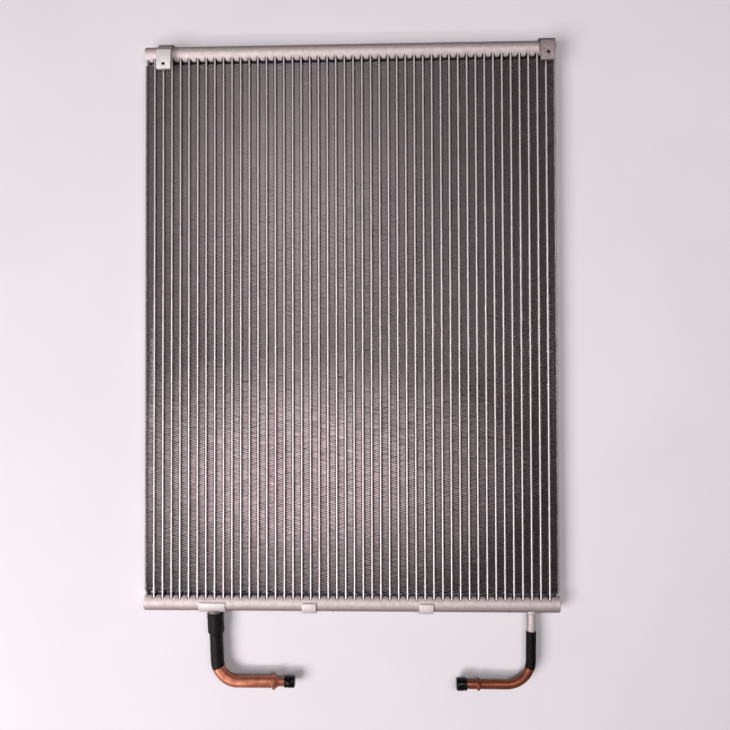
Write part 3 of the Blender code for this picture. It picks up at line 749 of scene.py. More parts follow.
@dataclass
class Palette:
    """All finishes of the coil, made once.

    Attributes:
        place: The measured frame.
        header: The headers and their end caps.
        tube: The flat tubes and their braze.
        fin: The fin strips.
        plate: The side plates.
        bracket: The clips and the saddle.
        pad: The left bracket.
        shaded_pad: The right bracket, the pad's metal made darker as painted shade.
        copper: The inlet's pipe.
        dull_copper: The outlet's pipe.
        stub: The outlet's stub.
        dull_stub: The inlet's stub.
        sleeve: The inlet's sleeves.
        dark_sleeve: The outlet's sleeve.
        rubber: The soft caps.
    """

    place: CoilFrame
    header: bpy.types.Material = field(init=False)
    tube: bpy.types.Material = field(init=False)
    fin: bpy.types.Material = field(init=False)
    plate: bpy.types.Material = field(init=False)
    bracket: bpy.types.Material = field(init=False)
    pad: bpy.types.Material = field(init=False)
    shaded_pad: bpy.types.Material = field(init=False)
    copper: bpy.types.Material = field(init=False)
    dull_copper: bpy.types.Material = field(init=False)
    stub: bpy.types.Material = field(init=False)
    dull_stub: bpy.types.Material = field(init=False)
    sleeve: bpy.types.Material = field(init=False)
    dark_sleeve: bpy.types.Material = field(init=False)
    rubber: bpy.types.Material = field(init=False)

    def __post_init__(self) -> None:
        """Builds each material."""
        axis = self.place.header_offset
        self.header = MilledAluminium(
            "header_milled",
            light=(1.0, 0.875, 0.86),
            dark=(0.80, 0.68, 0.665),
            metallic=0.15,
            rough_low=0.50,
            rough_high=0.62,
            grain_depth=0.012 * MM,
            along=(14.0, 1.0, 1.0),
            stain=0.25,
            middle_y=self.place.core_y,
            # Painted shade on the outer flanks, on the wall facing the fins, towards the right end and on
            # the upper header.
            unshaded_within=axis - 1.5 * MM,
            shaded_beyond=axis + 8.0 * MM,
            right_shade=0.28,
            upper_shade=0.11,
            flank=axis - 7.6 * MM,
        ).make()
        self.tube = MilledAluminium(
            "tube_brazed",
            light=(0.98, 0.885, 0.89),
            dark=(0.82, 0.74, 0.745),
            metallic=0.5,
            rough_low=0.36,
            rough_high=0.50,
            along=(1.0, 14.0, 1.0),
            stain=0.2,
            # Painted shade on the tubes' sides below their noses.
            bright_above=16.93 * MM,
            fade=0.38 * MM,
        ).make()
        self.fin = FinFoil().make()
        self.plate = MilledAluminium(
            "plate_dull",
            light=(0.36, 0.32, 0.32),
            dark=(0.20, 0.175, 0.175),
            metallic=0.4,
            rough_low=0.45,
            rough_high=0.6,
            along=(1.0, 14.0, 1.0),
        ).make()
        self.pad = BlastedAluminium(
            "pad_blasted",
            light=(1.0, 0.96, 0.95),
            dark=(0.90, 0.83, 0.82),
            low=17.0 * MM,
            high=26.0 * MM,
            hole=(-191.7 * MM, 311.3 * MM),
            strap_from=326.4 * MM,
        ).make()
        # The right bracket: the left one's metal, darker as painted shade.
        self.shaded_pad = BlastedAluminium(
            "pad_shaded",
            light=(0.56, 0.46, 0.45),
            dark=(0.24, 0.19, 0.19),
            grain=1.4 * MM,
            low=17.0 * MM,
            high=26.0 * MM,
            hole=(204.2 * MM, 316.7 * MM),
            strap_from=329.2 * MM,
        ).make()
        self.stub = BlastedAluminium(
            "stub_blasted",
            light=(0.89, 0.80, 0.78),
            dark=(0.44, 0.36, 0.34),
            grain=1.3 * MM,
            low=11.0 * MM,
            high=15.0 * MM,
        ).make()
        self.dull_stub = BlastedAluminium(
            "stub_dull", light=(0.34, 0.27, 0.25), dark=(0.15, 0.11, 0.10), low=10.0 * MM, high=18.0 * MM
        ).make()
        self.bracket = BlastedAluminium().make()
        self.copper = BrazedCopper().make()
        self.dull_copper = BrazedCopper(
            name="copper_dull",
            bright=(0.37, 0.108, 0.05),
            brown=(0.17, 0.045, 0.022),
            stain=(0.05, 0.018, 0.012),
            side_height=9.0 * MM,
            crown_height=13.5 * MM,
        ).make()
        self.sleeve = ShrinkSleeve().make()
        self.dark_sleeve = ShrinkSleeve(
            "sleeve_dark", black=(0.004, 0.003, 0.003), dust=(0.011, 0.007, 0.008), gloss=0.10
        ).make()
        self.rubber = GlossRubber().make()


def deselect_all() -> None:
    """Leaves nothing selected and object mode on."""
    if bpy.context.object is not None and bpy.context.object.mode != "OBJECT":
        bpy.ops.object.mode_set(mode="OBJECT")
    bpy.ops.object.select_all(action="DESELECT")


def make_active(piece: bpy.types.Object) -> None:
    """Selects one piece alone and makes it active.

    Args:
        piece: The piece.
    """
    deselect_all()
    piece.select_set(True)
    bpy.context.view_layer.objects.active = piece


def edit(piece: bpy.types.Object, kind: str = "VERT") -> None:
    """Opens one piece in edit mode with nothing selected.

    Args:
        piece: The piece.
        kind: What is picked there: VERT, EDGE or FACE.
    """
    make_active(piece)
    bpy.ops.object.mode_set(mode="EDIT")
    bpy.ops.mesh.select_mode(type=kind)
    bpy.ops.mesh.select_all(action="DESELECT")


def pick(piece: bpy.types.Object, parts: str, wanted: Callable[..., bool]) -> None:
    """Selects the faces or edges that are wanted, and no others, in edit mode.

    Args:
        piece: The piece in edit mode.
        parts: What is picked there: faces or edges.
        wanted: Says of one of them whether it is wanted.
    """
    shell = bmesh.from_edit_mesh(piece.data)
    for part in getattr(shell, parts):
        part.select = wanted(part)
    shell.select_flush_mode()
    bmesh.update_edit_mesh(piece.data)


def apply_place(piece: bpy.types.Object) -> None:
    """Moves a piece's place, turn and scale into its mesh."""
    make_active(piece)
    bpy.ops.object.transform_apply(location=True, rotation=True, scale=True)


def apply_modifiers(piece: bpy.types.Object) -> None:
    """Applies each modifier of a piece in order."""
    make_active(piece)
    for modifier in list(piece.modifiers):
        bpy.ops.object.modifier_apply(modifier=modifier.name)


def copy_piece(pattern: bpy.types.Object) -> bpy.types.Object:
    """Copies a piece with its mesh.

    Args:
        pattern: The piece that is copied.

    Returns:
        The copy.
    """
    piece = pattern.copy()
    piece.data = pattern.data.copy()
    bpy.context.scene.collection.objects.link(piece)
    return piece


def mend_normals(piece: bpy.types.Object) -> None:
    """Merges doubled points and turns the faces outwards.

    Args:
        piece: The piece.
    """
    edit(piece)
    bpy.ops.mesh.select_all(action="SELECT")
    bpy.ops.mesh.remove_doubles(threshold=WELD)
    bpy.ops.mesh.normals_make_consistent(inside=False)
    bpy.ops.object.mode_set(mode="OBJECT")


def shade(piece: bpy.types.Object, angle: float = 35.0) -> None:
    """Shades a piece smooth up to an angle in degrees."""
    make_active(piece)
    bpy.ops.object.shade_smooth_by_angle(angle=math.radians(angle))


def dress(
    piece: bpy.types.Object,
    material: bpy.types.Material,
    slot: Slot,
    replaced: tuple[str, ...] = (),
) -> bpy.types.Object:
    """Gives a finished piece its material and its place on the body.

    Args:
        piece: The finished piece.
        material: Its material.
        slot: The record's slot; not used.
        replaced: CAD nodes that it stands for.

    Returns:
        The piece.
    """
    piece.data.materials.clear()
    piece.data.materials.append(material)
    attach(piece, BODY)
    if replaced:
        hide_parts(*replaced)
    return piece


def copy_of_node(node: str, name: str) -> bpy.types.Object:
    """A merged copy of a CAD node with its flat faces made whole again.

    Args:
        node: The CAD node.
        name: Name of the copy.

    Returns:
        The copy, selected and active.
    """
    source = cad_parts[node]
    piece = bpy.data.objects.new(name, source.data.copy())
    bpy.context.scene.collection.objects.link(piece)
    edit(piece)
    bpy.ops.mesh.select_all(action="SELECT")
    bpy.ops.mesh.remove_doubles(threshold=NODE_WELD)
    bpy.ops.mesh.normals_make_consistent(inside=False)
    bpy.ops.mesh.dissolve_limited(angle_limit=math.radians(1.0))
    bpy.ops.object.mode_set(mode="OBJECT")
    return piece


def soften_edges(piece: bpy.types.Object, width: float, segments: int, angle: float = 30.0) -> None:
    """Bevels the sharp edges of a piece.

    Args:
        piece: The piece.
        width: Width of the bevel.
        segments: Its segments.
        angle: Edges sharper than this are bevelled, in degrees.
    """
    bevel = piece.modifiers.new("soft_edges", "BEVEL")
    bevel.width = width
    bevel.segments = segments
    bevel.limit_method = "ANGLE"
    bevel.angle_limit = math.radians(angle)
    apply_modifiers(piece)


@dataclass
class FlatTubes:
    """The flat tubes of the core, with round noses.

    Attributes:
        count: Number of tubes.
        pitch: Distance between two tubes.
        thickness: Size along the headers.
        depth: Size through the core.
        nose: Width of the rounding on the noses.
        nose_steps: Segments of that rounding.
        wander: How far a tube may stand off its place.
        passes: Tubes in each pass.
        seed: Seed of the tubes' places.
    """

    count: int = 46
    pitch: float = 9.05 * MM
    thickness: float = 2.0 * MM
    depth: float = 12.0 * MM
    nose: float = 0.95 * MM
    nose_steps: int = 4
    wander: float = 0.05 * MM
    passes: tuple[int, ...] = (21, 13, 7, 5)
    seed: int = 11

    def x(self, number: int) -> float:
        """X of a tube's middle, counted from 1."""
        return (number - (self.count + 1) / 2) * self.pitch

    def pass_of(self, number: int) -> int:
        """Number of the pass that a tube is in.

        Args:
            number: The tube, counted from 1.

        Returns:
            The pass, counted from 1.
        """
        last = 0
        for index, tubes in enumerate(self.passes, start=1):
            last += tubes
            if number <= last:
                return index
        return len(self.passes)

    def pattern(self, place: CoilFrame) -> bpy.types.Object:
        """Makes one tube, bevelled along its four long edges.

        Args:
            place: The measured frame.

        Returns:
            The tube, at X = 0.
        """
        low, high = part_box("core_pass_1")
        bpy.ops.mesh.primitive_cube_add(size=1, location=(0, place.core_y, place.axis_z))
        tube = bpy.context.object
        tube.scale = (self.thickness, high.y - low.y, self.depth)
        apply_place(tube)
        edit(tube, "EDGE")
        pick(tube, "edges", lambda edge: edge.calc_length() > 2 * self.depth)
        bpy.ops.mesh.bevel(offset=self.nose, segments=self.nose_steps, profile=0.5)
        bpy.ops.object.mode_set(mode="OBJECT")
        shade(tube, 40)
        return tube

    def build(self, place: CoilFrame, palette: Palette) -> list[bpy.types.Object]:
        """Places a copy of the pattern for each tube.

        Args:
            place: The measured frame.
            palette: The finishes.

        Returns:
            The tubes.
        """
        pattern = self.pattern(place)
        chance = np.random.default_rng(self.seed)
        tubes = []
        for number in range(1, self.count + 1):
            tube = pattern if number == self.count else copy_piece(pattern)
            tube.name = f"flat_tube_{number:02d}"
            slip = chance.uniform(-self.wander, self.wander)
            tube.data.transform(Matrix.Translation((self.x(number) + slip, 0, 0)))
            node = f"core_pass_{self.pass_of(number)}"
            tubes.append(dress(tube, palette.tube, Slot.CORE, (node,)))
        return tubes


@dataclass(frozen=True)
class FinDamage:
    """A place where a fin strip's front edge is pushed over.

    Attributes:
        column: Strip, counted from 0 at the left.
        y: Middle of the place, from the core's middle.
        length: How far it reaches along the strip.
        lean: How far the front edge is pushed along the strip.
        side: How far it is pushed along the headers.
    """

    column: int
    y: float
    length: float
    lean: float
    side: float = 0.0


@dataclass
class FinStrips:
    """The folded fin strips between the tubes.

    Attributes:
        tubes: The tubes that they stand between.
        length: Length of a strip.
        depth: Its size through the core.
        leg_pitch: Distance between two legs along the strip.
        foil: Thickness of the strip's metal.
        crest: How far the round of a fold reaches across.
        crest_share: How much of the leg pitch the round takes on each side of the fold.
        unevenness: How far a fold may stand off its place.
        lean: How far the front edge of a leg may stand off its back edge.
        ripple: Length over which the lean comes back.
        ripple_lean: How far it leans in that ripple.
        end_splay: How far the back edge of the last leg is splayed towards the header.
        louvre_length: Length of the front louvre of a leg.
        louvre_width: Its width.
        louvre_height: Its height over the headers' axes.
        louvre_slant: Its slant, in degrees.
        louvre_skew: How far its ends stand off its middle, as the leg runs slantwise.
        slat_turn: Extra slant for each metre of lean, in radians.
        braze_half: Half length of the braze along the tube.
        braze_reach: How far it reaches from the tube.
        braze_growth: Smallest and largest share of that size that a fold's braze takes.
        braze_root: How far it goes into the tube's wall.
        braze_depth: Its size through the core.
        braze_sag: How far its free corner hangs below the front face.
        wedge_step: Distance between two wedges of a row before they are set in place.
        first_seed: Seed of the first strip's unevenness.
        sink: How far a pushed edge goes down, as a share of its lean.
        damage: Places where the front edge is pushed over.
    """

    tubes: FlatTubes
    length: float = 550.0 * MM
    depth: float = 12.0 * MM
    leg_pitch: float = 1.19 * MM
    foil: float = 0.13 * MM
    crest: float = 0.32 * MM
    crest_share: float = 0.2
    unevenness: float = 0.05 * MM
    lean: float = 0.11 * MM
    ripple: float = 5.4 * MM
    ripple_lean: float = 0.15 * MM
    end_splay: float = 2.2 * MM
    louvre_length: float = 5.1 * MM
    louvre_width: float = 1.2 * MM
    louvre_height: float = 4.9 * MM
    louvre_slant: float = 48.0
    louvre_skew: float = 0.3 * MM
    slat_turn: float = 900.0
    braze_half: float = 0.5 * MM
    braze_reach: float = 1.4 * MM
    braze_growth: tuple[float, float] = (0.35, 0.82)
    braze_root: float = 0.1 * MM
    braze_depth: float = 1.6 * MM
    braze_sag: float = 0.1 * MM
    wedge_step: int = 2
    first_seed: int = 100
    sink: float = 0.4
    damage: tuple[FinDamage, ...] = (
        FinDamage(7, 271.0 * MM, 2.4 * MM, 1.2 * MM),
        FinDamage(6, 269.5 * MM, 2.4 * MM, -1.0 * MM),
        FinDamage(15, 271.5 * MM, 3.0 * MM, 1.4 * MM),
        FinDamage(18, 254.0 * MM, 2.4 * MM, 1.0 * MM),
        FinDamage(8, 222.0 * MM, 2.4 * MM, -1.1 * MM),
        FinDamage(16, 248.5 * MM, 3.0 * MM, 1.2 * MM),
        FinDamage(27, 267.0 * MM, 12.0 * MM, 1.3 * MM, 0.6 * MM),
        FinDamage(24, 266.0 * MM, 2.4 * MM, 1.1 * MM),
        FinDamage(46, 261.0 * MM, 3.0 * MM, 1.2 * MM),
        FinDamage(46, 247.0 * MM, 2.4 * MM, 1.2 * MM),
        FinDamage(46, 208.5 * MM, 2.4 * MM, -1.2 * MM),
        FinDamage(0, -269.5 * MM, 3.6 * MM, 1.6 * MM, 0.8 * MM),
        FinDamage(46, -268.5 * MM, 5.0 * MM, 1.8 * MM, -0.8 * MM),
        FinDamage(0, -97.0 * MM, 4.0 * MM, 1.0 * MM),
        FinDamage(0, -149.0 * MM, 4.0 * MM, 1.0 * MM),
    )

    @property
    def legs(self) -> int:
        """Number of legs in a strip."""
        return round(self.length / self.leg_pitch)

    def flat_strip(self) -> bpy.types.Object:
        """A flat strip with three crossing lines for each leg."""
        bpy.ops.mesh.primitive_grid_add(x_subdivisions=3 * self.legs, y_subdivisions=1, size=1)
        return bpy.context.object

    def fold(
        self,
        strip: bpy.types.Object,
        slats: bpy.types.Object,
        braze: bpy.types.Object,
        column: int,
        place: CoilFrame,
        seed: int,
    ) -> None:
        """Folds a flat strip into its place between two tubes, with its slats and its braze.

        Args:
            strip: The flat strip.
            slats: The row of wedges that become its front louvres.
            braze: The row of wedges that become its braze.
            column: Its column, from 0.
            place: The measured frame.
            seed: Seed for its unevenness.
        """
        chance = np.random.default_rng(seed)
        flat = np.empty(len(strip.data.vertices) * 3)
        strip.data.vertices.foreach_get("co", flat)
        flat = flat.reshape(-1, 3)
        station = np.rint((flat[:, 0] + 0.5) * 3 * self.legs).astype(int)
        front = flat[:, 1] > 0
        leg, part = np.divmod(station, 3)
        left = self.tubes.x(column) + self.tubes.thickness / 2
        right = self.tubes.x(column + 1) - self.tubes.thickness / 2
        inset = np.choose(part, (0.0, self.crest, self.crest))
        along = leg + np.choose(part, (0.0, self.crest_share, 1 - self.crest_share))
        on_right = np.where(part == 2, leg % 2 == 0, leg % 2 == 1)
        x = np.where(on_right, right - inset, left + inset)
        fold_of = leg + (part == 2)
        folds = self.legs + 2
        offset = chance.normal(0, self.unevenness, folds)
        wave = np.cumsum(chance.normal(0, self.unevenness / 3, folds))
        wave -= np.linspace(wave[0], wave[-1], folds)
        tilt = np.convolve(chance.normal(0, self.lean, folds + 3), (0.3, 0.6, 0.6, 0.3), "valid")
        count = np.arange(folds)
        ripple = np.sin(2 * np.pi * count * self.leg_pitch / self.ripple + chance.uniform(0, 6.3))
        tilt = tilt + self.ripple_lean * ripple
        y = (along * self.leg_pitch - self.length / 2) + (offset + wave)[fold_of]
        y = np.clip(y, -self.length / 2, self.length / 2)
        y = y + np.where(front, tilt[fold_of], -tilt[fold_of])
        z = np.where(front, self.depth / 2, -self.depth / 2)
        at_end = (station == 0) | (station == 3 * self.legs)
        y = y + np.where(at_end & ~front, np.sign(y) * self.end_splay, 0)
        for mark in self.damage:
            if mark.column == column:
                reach = np.clip(1 - np.abs(y - mark.y) / mark.length, 0, 1) * front
                y = y + reach * mark.lean
                x = x + reach * mark.side
                z = z - reach * abs(mark.lean) * self.sink
        points = np.column_stack((x, place.core_y + y, place.axis_z + z))
        strip.data.vertices.foreach_set("co", points.ravel())
        strip.data.update()
        shift = (offset + wave)[: self.legs]
        turned = tilt[: self.legs]
        slant = math.radians(self.louvre_slant) + self.slat_turn * turned
        middle = shift + self.louvre_height / self.depth * 2 * turned
        self.set_wedges(slats, self.slat_corners((left + right) / 2, middle, slant), place)
        growth = chance.uniform(*self.braze_growth, self.legs)
        self.set_wedges(braze, self.braze_corners(left, right, shift + turned, growth), place)

    def row_of_wedges(self) -> bpy.types.Object:
        """Makes one small four-sided wedge for each leg, in a row along Y.

        Returns:
            The row.
        """
        bpy.ops.mesh.primitive_cone_add(vertices=3, radius1=0.4, radius2=0, depth=1)
        wedges = bpy.context.object
        row = wedges.modifiers.new("row", "ARRAY")
        row.count = self.legs
        row.use_relative_offset = False
        row.use_constant_offset = True
        row.constant_offset_displace = (0, self.wedge_step, 0)
        apply_modifiers(wedges)
        return wedges

    def set_wedges(self, wedges: bpy.types.Object, corners: np.ndarray, place: CoilFrame) -> None:
        """Moves the corners of each wedge to their places.

        Args:
            wedges: The row of wedges.
            corners: Four corners for each leg, measured from the core's middle.
            place: The measured frame.
        """
        flat = np.empty(len(wedges.data.vertices) * 3)
        wedges.data.vertices.foreach_get("co", flat)
        flat = flat.reshape(-1, 3)
        leg = np.rint(flat[:, 1] / self.wedge_step).astype(int)
        turn = np.degrees(np.arctan2(flat[:, 1] - self.wedge_step * leg, flat[:, 0])) % 360
        corner = np.where(flat[:, 2] > 0, 3, np.rint(turn / 120).astype(int) % 3)
        points = corners[leg, corner] + np.array((0, place.core_y, place.axis_z))
        wedges.data.vertices.foreach_set("co", points.ravel())
        wedges.data.update()

    def slat_corners(self, middle_x: float, shift: np.ndarray, slant: np.ndarray) -> np.ndarray:
        """Corners of the front louvre of each leg, a thin slat slanted towards the lower header.

        Args:
            middle_x: Middle of the column.
            shift: How far each leg stands off its place.
            slant: Slant of each slat, in radians.

        Returns:
            Four corners for each leg.
        """
        leg = np.arange(self.legs)
        y = (leg + 0.5) * self.leg_pitch - self.length / 2 + shift
        skew = np.where(leg % 2 == 0, 1, -1) * self.louvre_skew
        corners = np.empty((self.legs, 4, 3))
        ends = ((-1, -1, 0), (1, -1, 1), (-1, 1, 1), (1, 1, 0))
        for corner, (side, rise, outer) in enumerate(ends):
            reach = rise * self.louvre_width / 2
            corners[:, corner, 0] = middle_x + side * self.louvre_length / 2
            corners[:, corner, 1] = y + side * skew + reach * np.sin(slant) - outer * self.foil
            corners[:, corner, 2] = self.louvre_height + reach * np.cos(slant)
        return corners

    def braze_corners(
        self, left: float, right: float, shift: np.ndarray, growth: np.ndarray
    ) -> np.ndarray:
        """Corners of the braze that fills the fold of each leg against its tube.

        Args:
            left: X of the tube on the left.
            right: X of the tube on the right.
            shift: How far each leg stands off its place.
            growth: Size of each one's braze, as a share.

        Returns:
            Four corners for each leg.
        """
        leg = np.arange(self.legs)
        y = leg * self.leg_pitch - self.length / 2 + shift
        half = self.braze_half * growth
        wall = np.where(leg % 2 == 0, left - self.braze_root, right + self.braze_root)
        inner = np.where(leg % 2 == 0, left, right)
        inner = inner + np.where(leg % 2 == 0, 1, -1) * self.braze_reach * growth
        front = self.depth / 2
        corners = np.empty((self.legs, 4, 3))
        spots = (
            (wall, y - half, 0.0),
            (wall, y + half, 0.0),
            (wall, y, self.braze_depth),
            (inner, y, self.braze_sag),
        )
        for corner, (across, along, drop) in enumerate(spots):
            corners[:, corner] = np.column_stack((across, along, np.full(self.legs, front - drop)))
        return corners

    def build(self, place: CoilFrame, palette: Palette) -> list[bpy.types.Object]:
        """Folds one strip for each column.

        Args:
            place: The measured frame.
            palette: The finishes.

        Returns:
            The strips.
        """
        patterns = (self.flat_strip(), self.row_of_wedges(), self.row_of_wedges())
        strips = []
        for column in range(self.tubes.count + 1):
            last = column == self.tubes.count
            strip, slats, braze = patterns if last else [copy_piece(pattern) for pattern in patterns]
            self.fold(strip, slats, braze, column, place, seed=self.first_seed + column)
            thickness = strip.modifiers.new("foil", "SOLIDIFY")
            thickness.thickness = self.foil
            thickness.offset = 0
            apply_modifiers(strip)
            mend_normals(slats)
            mend_normals(braze)
            foils = len(strip.data.polygons) + len(slats.data.polygons)
            make_active(strip)
            slats.select_set(True)
            bpy.ops.object.join()
            make_active(strip)
            braze.select_set(True)
            bpy.ops.object.join()
            strip.name = f"fin_strip_{column + 1:02d}"
            node = f"core_pass_{self.tubes.pass_of(column + 1)}"
            dress(strip, palette.fin, Slot.CORE, (node,))
            strip.data.materials.append(palette.tube)
            finish = (np.arange(len(strip.data.polygons)) >= foils).astype(np.int32)
            strip.data.polygons.foreach_set("material_index", finish)
            strips.append(strip)
        return strips


@dataclass
class DomedHeader:
    """A header tube whose wall stands in a dome between two tubes.

    Attributes:
        side: Which header it is.
        node: The CAD node that it replaces.
        tubes: The tubes that it takes.
        radius: Outer radius.
        bore: Radius of the bore.
        floor: Distance from the axis to the bottom of the grooves.
        flare: Half width of a groove at the crown of the domes.
        rounding: Softness of the domes' shoulders.
        fillet: Rise of the brazed fillet beside a tube.
        fillet_reach: How far the fillet reaches from the tube.
        flank_step: Distance between the crossing lines on the flank of a groove.
        shoulder: Distance from a tube to the line on the dome's shoulder.
        flange: Thickness of the cap at each of its ends.
        dome_angle: Half angle of the domed side, in degrees.
        dome_steps: Steps round the domed side.
        round_steps: Steps round the rest.
    """

    side: Side
    node: str
    tubes: FlatTubes
    radius: float = 8.5 * MM
    bore: float = 4.1 * MM
    floor: float = 4.9 * MM
    flare: float = 2.8 * MM
    rounding: float = 0.28 * MM
    fillet: float = 0.3 * MM
    fillet_reach: float = 0.8 * MM
    flank_step: float = 0.35 * MM
    shoulder: float = 2.2 * MM
    flange: float = 1.5 * MM
    dome_angle: float = 62.0
    dome_steps: int = 22
    round_steps: int = 26

    def stations(self, place: CoilFrame) -> np.ndarray:
        """X of the crossing lines, close together on the flanks of the grooves.

        Args:
            place: The measured frame.

        Returns:
            The lines' places, from left to right.
        """
        half = self.tubes.thickness / 2
        flank = half + self.flank_step * np.arange(6)
        steps = np.concatenate(((0.0,), flank, (half + self.shoulder,)))
        end = place.half_length - self.flange
        xs = [-end, end]
        for number in range(1, self.tubes.count + 1):
            centre = self.tubes.x(number)
            xs.extend(centre + steps)
            xs.extend(centre - steps[1:])
            xs.append(centre + self.tubes.pitch / 2)
        xs.append(self.tubes.x(1) - self.tubes.pitch / 2)
        return np.array(sorted(x for x in xs if -end <= x <= end))

    def angles(self) -> np.ndarray:
        """Angles round the header, from the tubes' side, once round.

        Returns:
            The angles, in radians.
        """
        dome = math.radians(self.dome_angle)
        first = np.linspace(-dome, dome, self.dome_steps + 1)
        rest = np.linspace(dome, 2 * math.pi - dome, self.round_steps + 1)
        return np.concatenate((first, rest[1:]))

    def pressed(self, x: np.ndarray, towards: np.ndarray) -> np.ndarray:
        """Lowers the wall beside the slots.

        Args:
            x: Places along the header.
            towards: Distances from the axis towards the tubes.

        Returns:
            The lowered distances.
        """
        first = self.tubes.x(1)
        number = np.clip(np.rint((x - first) / self.tubes.pitch), 0, self.tubes.count - 1)
        away = np.abs(x - first - number * self.tubes.pitch)
        half = self.tubes.thickness / 2
        slope = (self.radius - self.floor) / (self.flare - half)
        near = np.clip((away - half) / self.fillet_reach, 0, 1)
        limit = self.floor + np.maximum(away - half, 0) * slope
        limit = limit + self.fillet * (1 - near) ** 2
        limit = np.minimum(limit, self.radius * 1.5)
        soft = self.rounding
        low = np.minimum(limit, towards)
        return low - soft * np.log(np.exp(-(limit - low) / soft) + np.exp(-(towards - low) / soft))

    def build(self, place: CoilFrame, palette: Palette) -> bpy.types.Object:
        """Rolls a grid into the domed tube and closes it with its bore.

        Args:
            place: The measured frame.
            palette: The finishes.

        Returns:
            The header.
        """
        xs, angles = self.stations(place), self.angles()
        columns, rows = len(xs) - 1, len(angles) - 1
        bpy.ops.mesh.primitive_grid_add(x_subdivisions=columns, y_subdivisions=rows, size=1)
        header = bpy.context.object
        header.name = f"{self.side.name.lower()}_header_domed"
        flat = np.empty(len(header.data.vertices) * 3)
        header.data.vertices.foreach_get("co", flat)
        flat = flat.reshape(-1, 3)
        x = xs[np.rint((flat[:, 0] + 0.5) * columns).astype(int)]
        angle = angles[np.rint((flat[:, 1] + 0.5) * rows).astype(int)]
        towards = self.pressed(x, self.radius * np.cos(angle))
        y = place.axis_y(self.side) + self.side.value * towards
        points = np.column_stack((x, y, place.axis_z + self.radius * np.sin(angle)))
        header.data.vertices.foreach_set("co", points.ravel())
        header.data.update()
        self.add_bore(header, place)
        mend_normals(header)
        shade(header, 50)
        return dress(header, palette.header, Slot.HEADER, (self.node,))

    def add_bore(self, header: bpy.types.Object, place: CoilFrame) -> None:
        """Closes the two ends round a plain bore.

        Args:
            header: The rolled header, still open at its ends.
            place: The measured frame.
        """
        edit(header, "EDGE")
        bpy.ops.mesh.select_all(action="SELECT")
        bpy.ops.mesh.remove_doubles(threshold=WELD)
        shell = bmesh.from_edit_mesh(header.data)
        axis = Vector((0, place.axis_y(self.side), place.axis_z))
        rings: dict[int, dict] = {-1: {}, 1: {}}
        for edge in [e for e in shell.edges if e.is_boundary]:
            end = 1 if edge.verts[0].co.x > 0 else -1
            inner = []
            for vert in edge.verts:
                if vert not in rings[end]:
                    out = (vert.co - axis) * Vector((0, 1, 1))
                    spot = axis + out.normalized() * self.bore
                    rings[end][vert] = shell.verts.new((vert.co.x, spot.y, spot.z))
                inner.append(rings[end][vert])
            shell.faces.new((edge.verts[0], edge.verts[1], inner[1], inner[0]))
        bmesh.update_edit_mesh(header.data)
        pick(header, "edges", lambda edge: edge.is_boundary)
        bpy.ops.mesh.bridge_edge_loops()
        bpy.ops.object.mode_set(mode="OBJECT")


@dataclass
class EndCap:
    """A round cap on a header's end.

    Attributes:
        node: The CAD node that it replaces.
        side: Which header it closes.
        end: -1 for the left end and 1 for the right one.
        radius: Its radius.
        flange: Its thickness.
        rim: Rounding of its rim.
        recess: Depth of its dished face.
        sides: Points round it.
    """

    node: str
    side: Side
    end: int
    radius: float = 8.5 * MM
    flange: float = 1.5 * MM
    rim: float = 0.9 * MM
    recess: float = 0.25 * MM
    sides: int = 48

    def build(self, place: CoilFrame, palette: Palette) -> bpy.types.Object:
        """Turns a disc on its edge, rounds its rim and dishes its face.

        Args:
            place: The measured frame.
            palette: The finishes.

        Returns:
            The cap.
        """
        middle = self.end * (place.half_length - self.flange / 2)
        bpy.ops.mesh.primitive_cylinder_add(
            vertices=self.sides,
            radius=self.radius,
            depth=self.flange,
            location=(middle, place.axis_y(self.side), place.axis_z),
            rotation=(0, math.pi / 2, 0),
        )
        cap = bpy.context.object
        cap.name = f"{self.node}_disc"
        apply_place(cap)
        edit(cap, "FACE")
        pick(cap, "faces", lambda face: face.normal.x * self.end > 0.99)
        bpy.ops.mesh.bevel(offset=self.rim, segments=4, profile=0.5)
        pick(cap, "faces", lambda face: face.normal.x * self.end > 0.99)
        bpy.ops.mesh.inset(thickness=self.radius * 0.35)
        bpy.ops.mesh.inset(thickness=self.radius * 0.08, depth=-self.recess)
        bpy.ops.object.mode_set(mode="OBJECT")
        shade(cap, 40)
        return dress(cap, palette.header, Slot.HEADER, (self.node,))


@dataclass
class SoftenedNode:
    """A CAD solid kept as it is, with its edges rounded.

    Attributes:
        node: The CAD node.
        slot: The record's slot.
        width: Width of the rounding.
        segments: Segments of the rounding.
    """

    node: str
    slot: Slot
    width: float
    segments: int = 3

    def build(self, material: bpy.types.Material) -> bpy.types.Object:
        """Copies the node, rounds the copy and dresses it.

        Args:
            material: The finish.

        Returns:
            The piece.
        """
        piece = copy_of_node(self.node, f"{self.node}_rounded")
        soften_edges(piece, self.width, self.segments)
        shade(piece, 32)
        return dress(piece, material, self.slot, (self.node,))


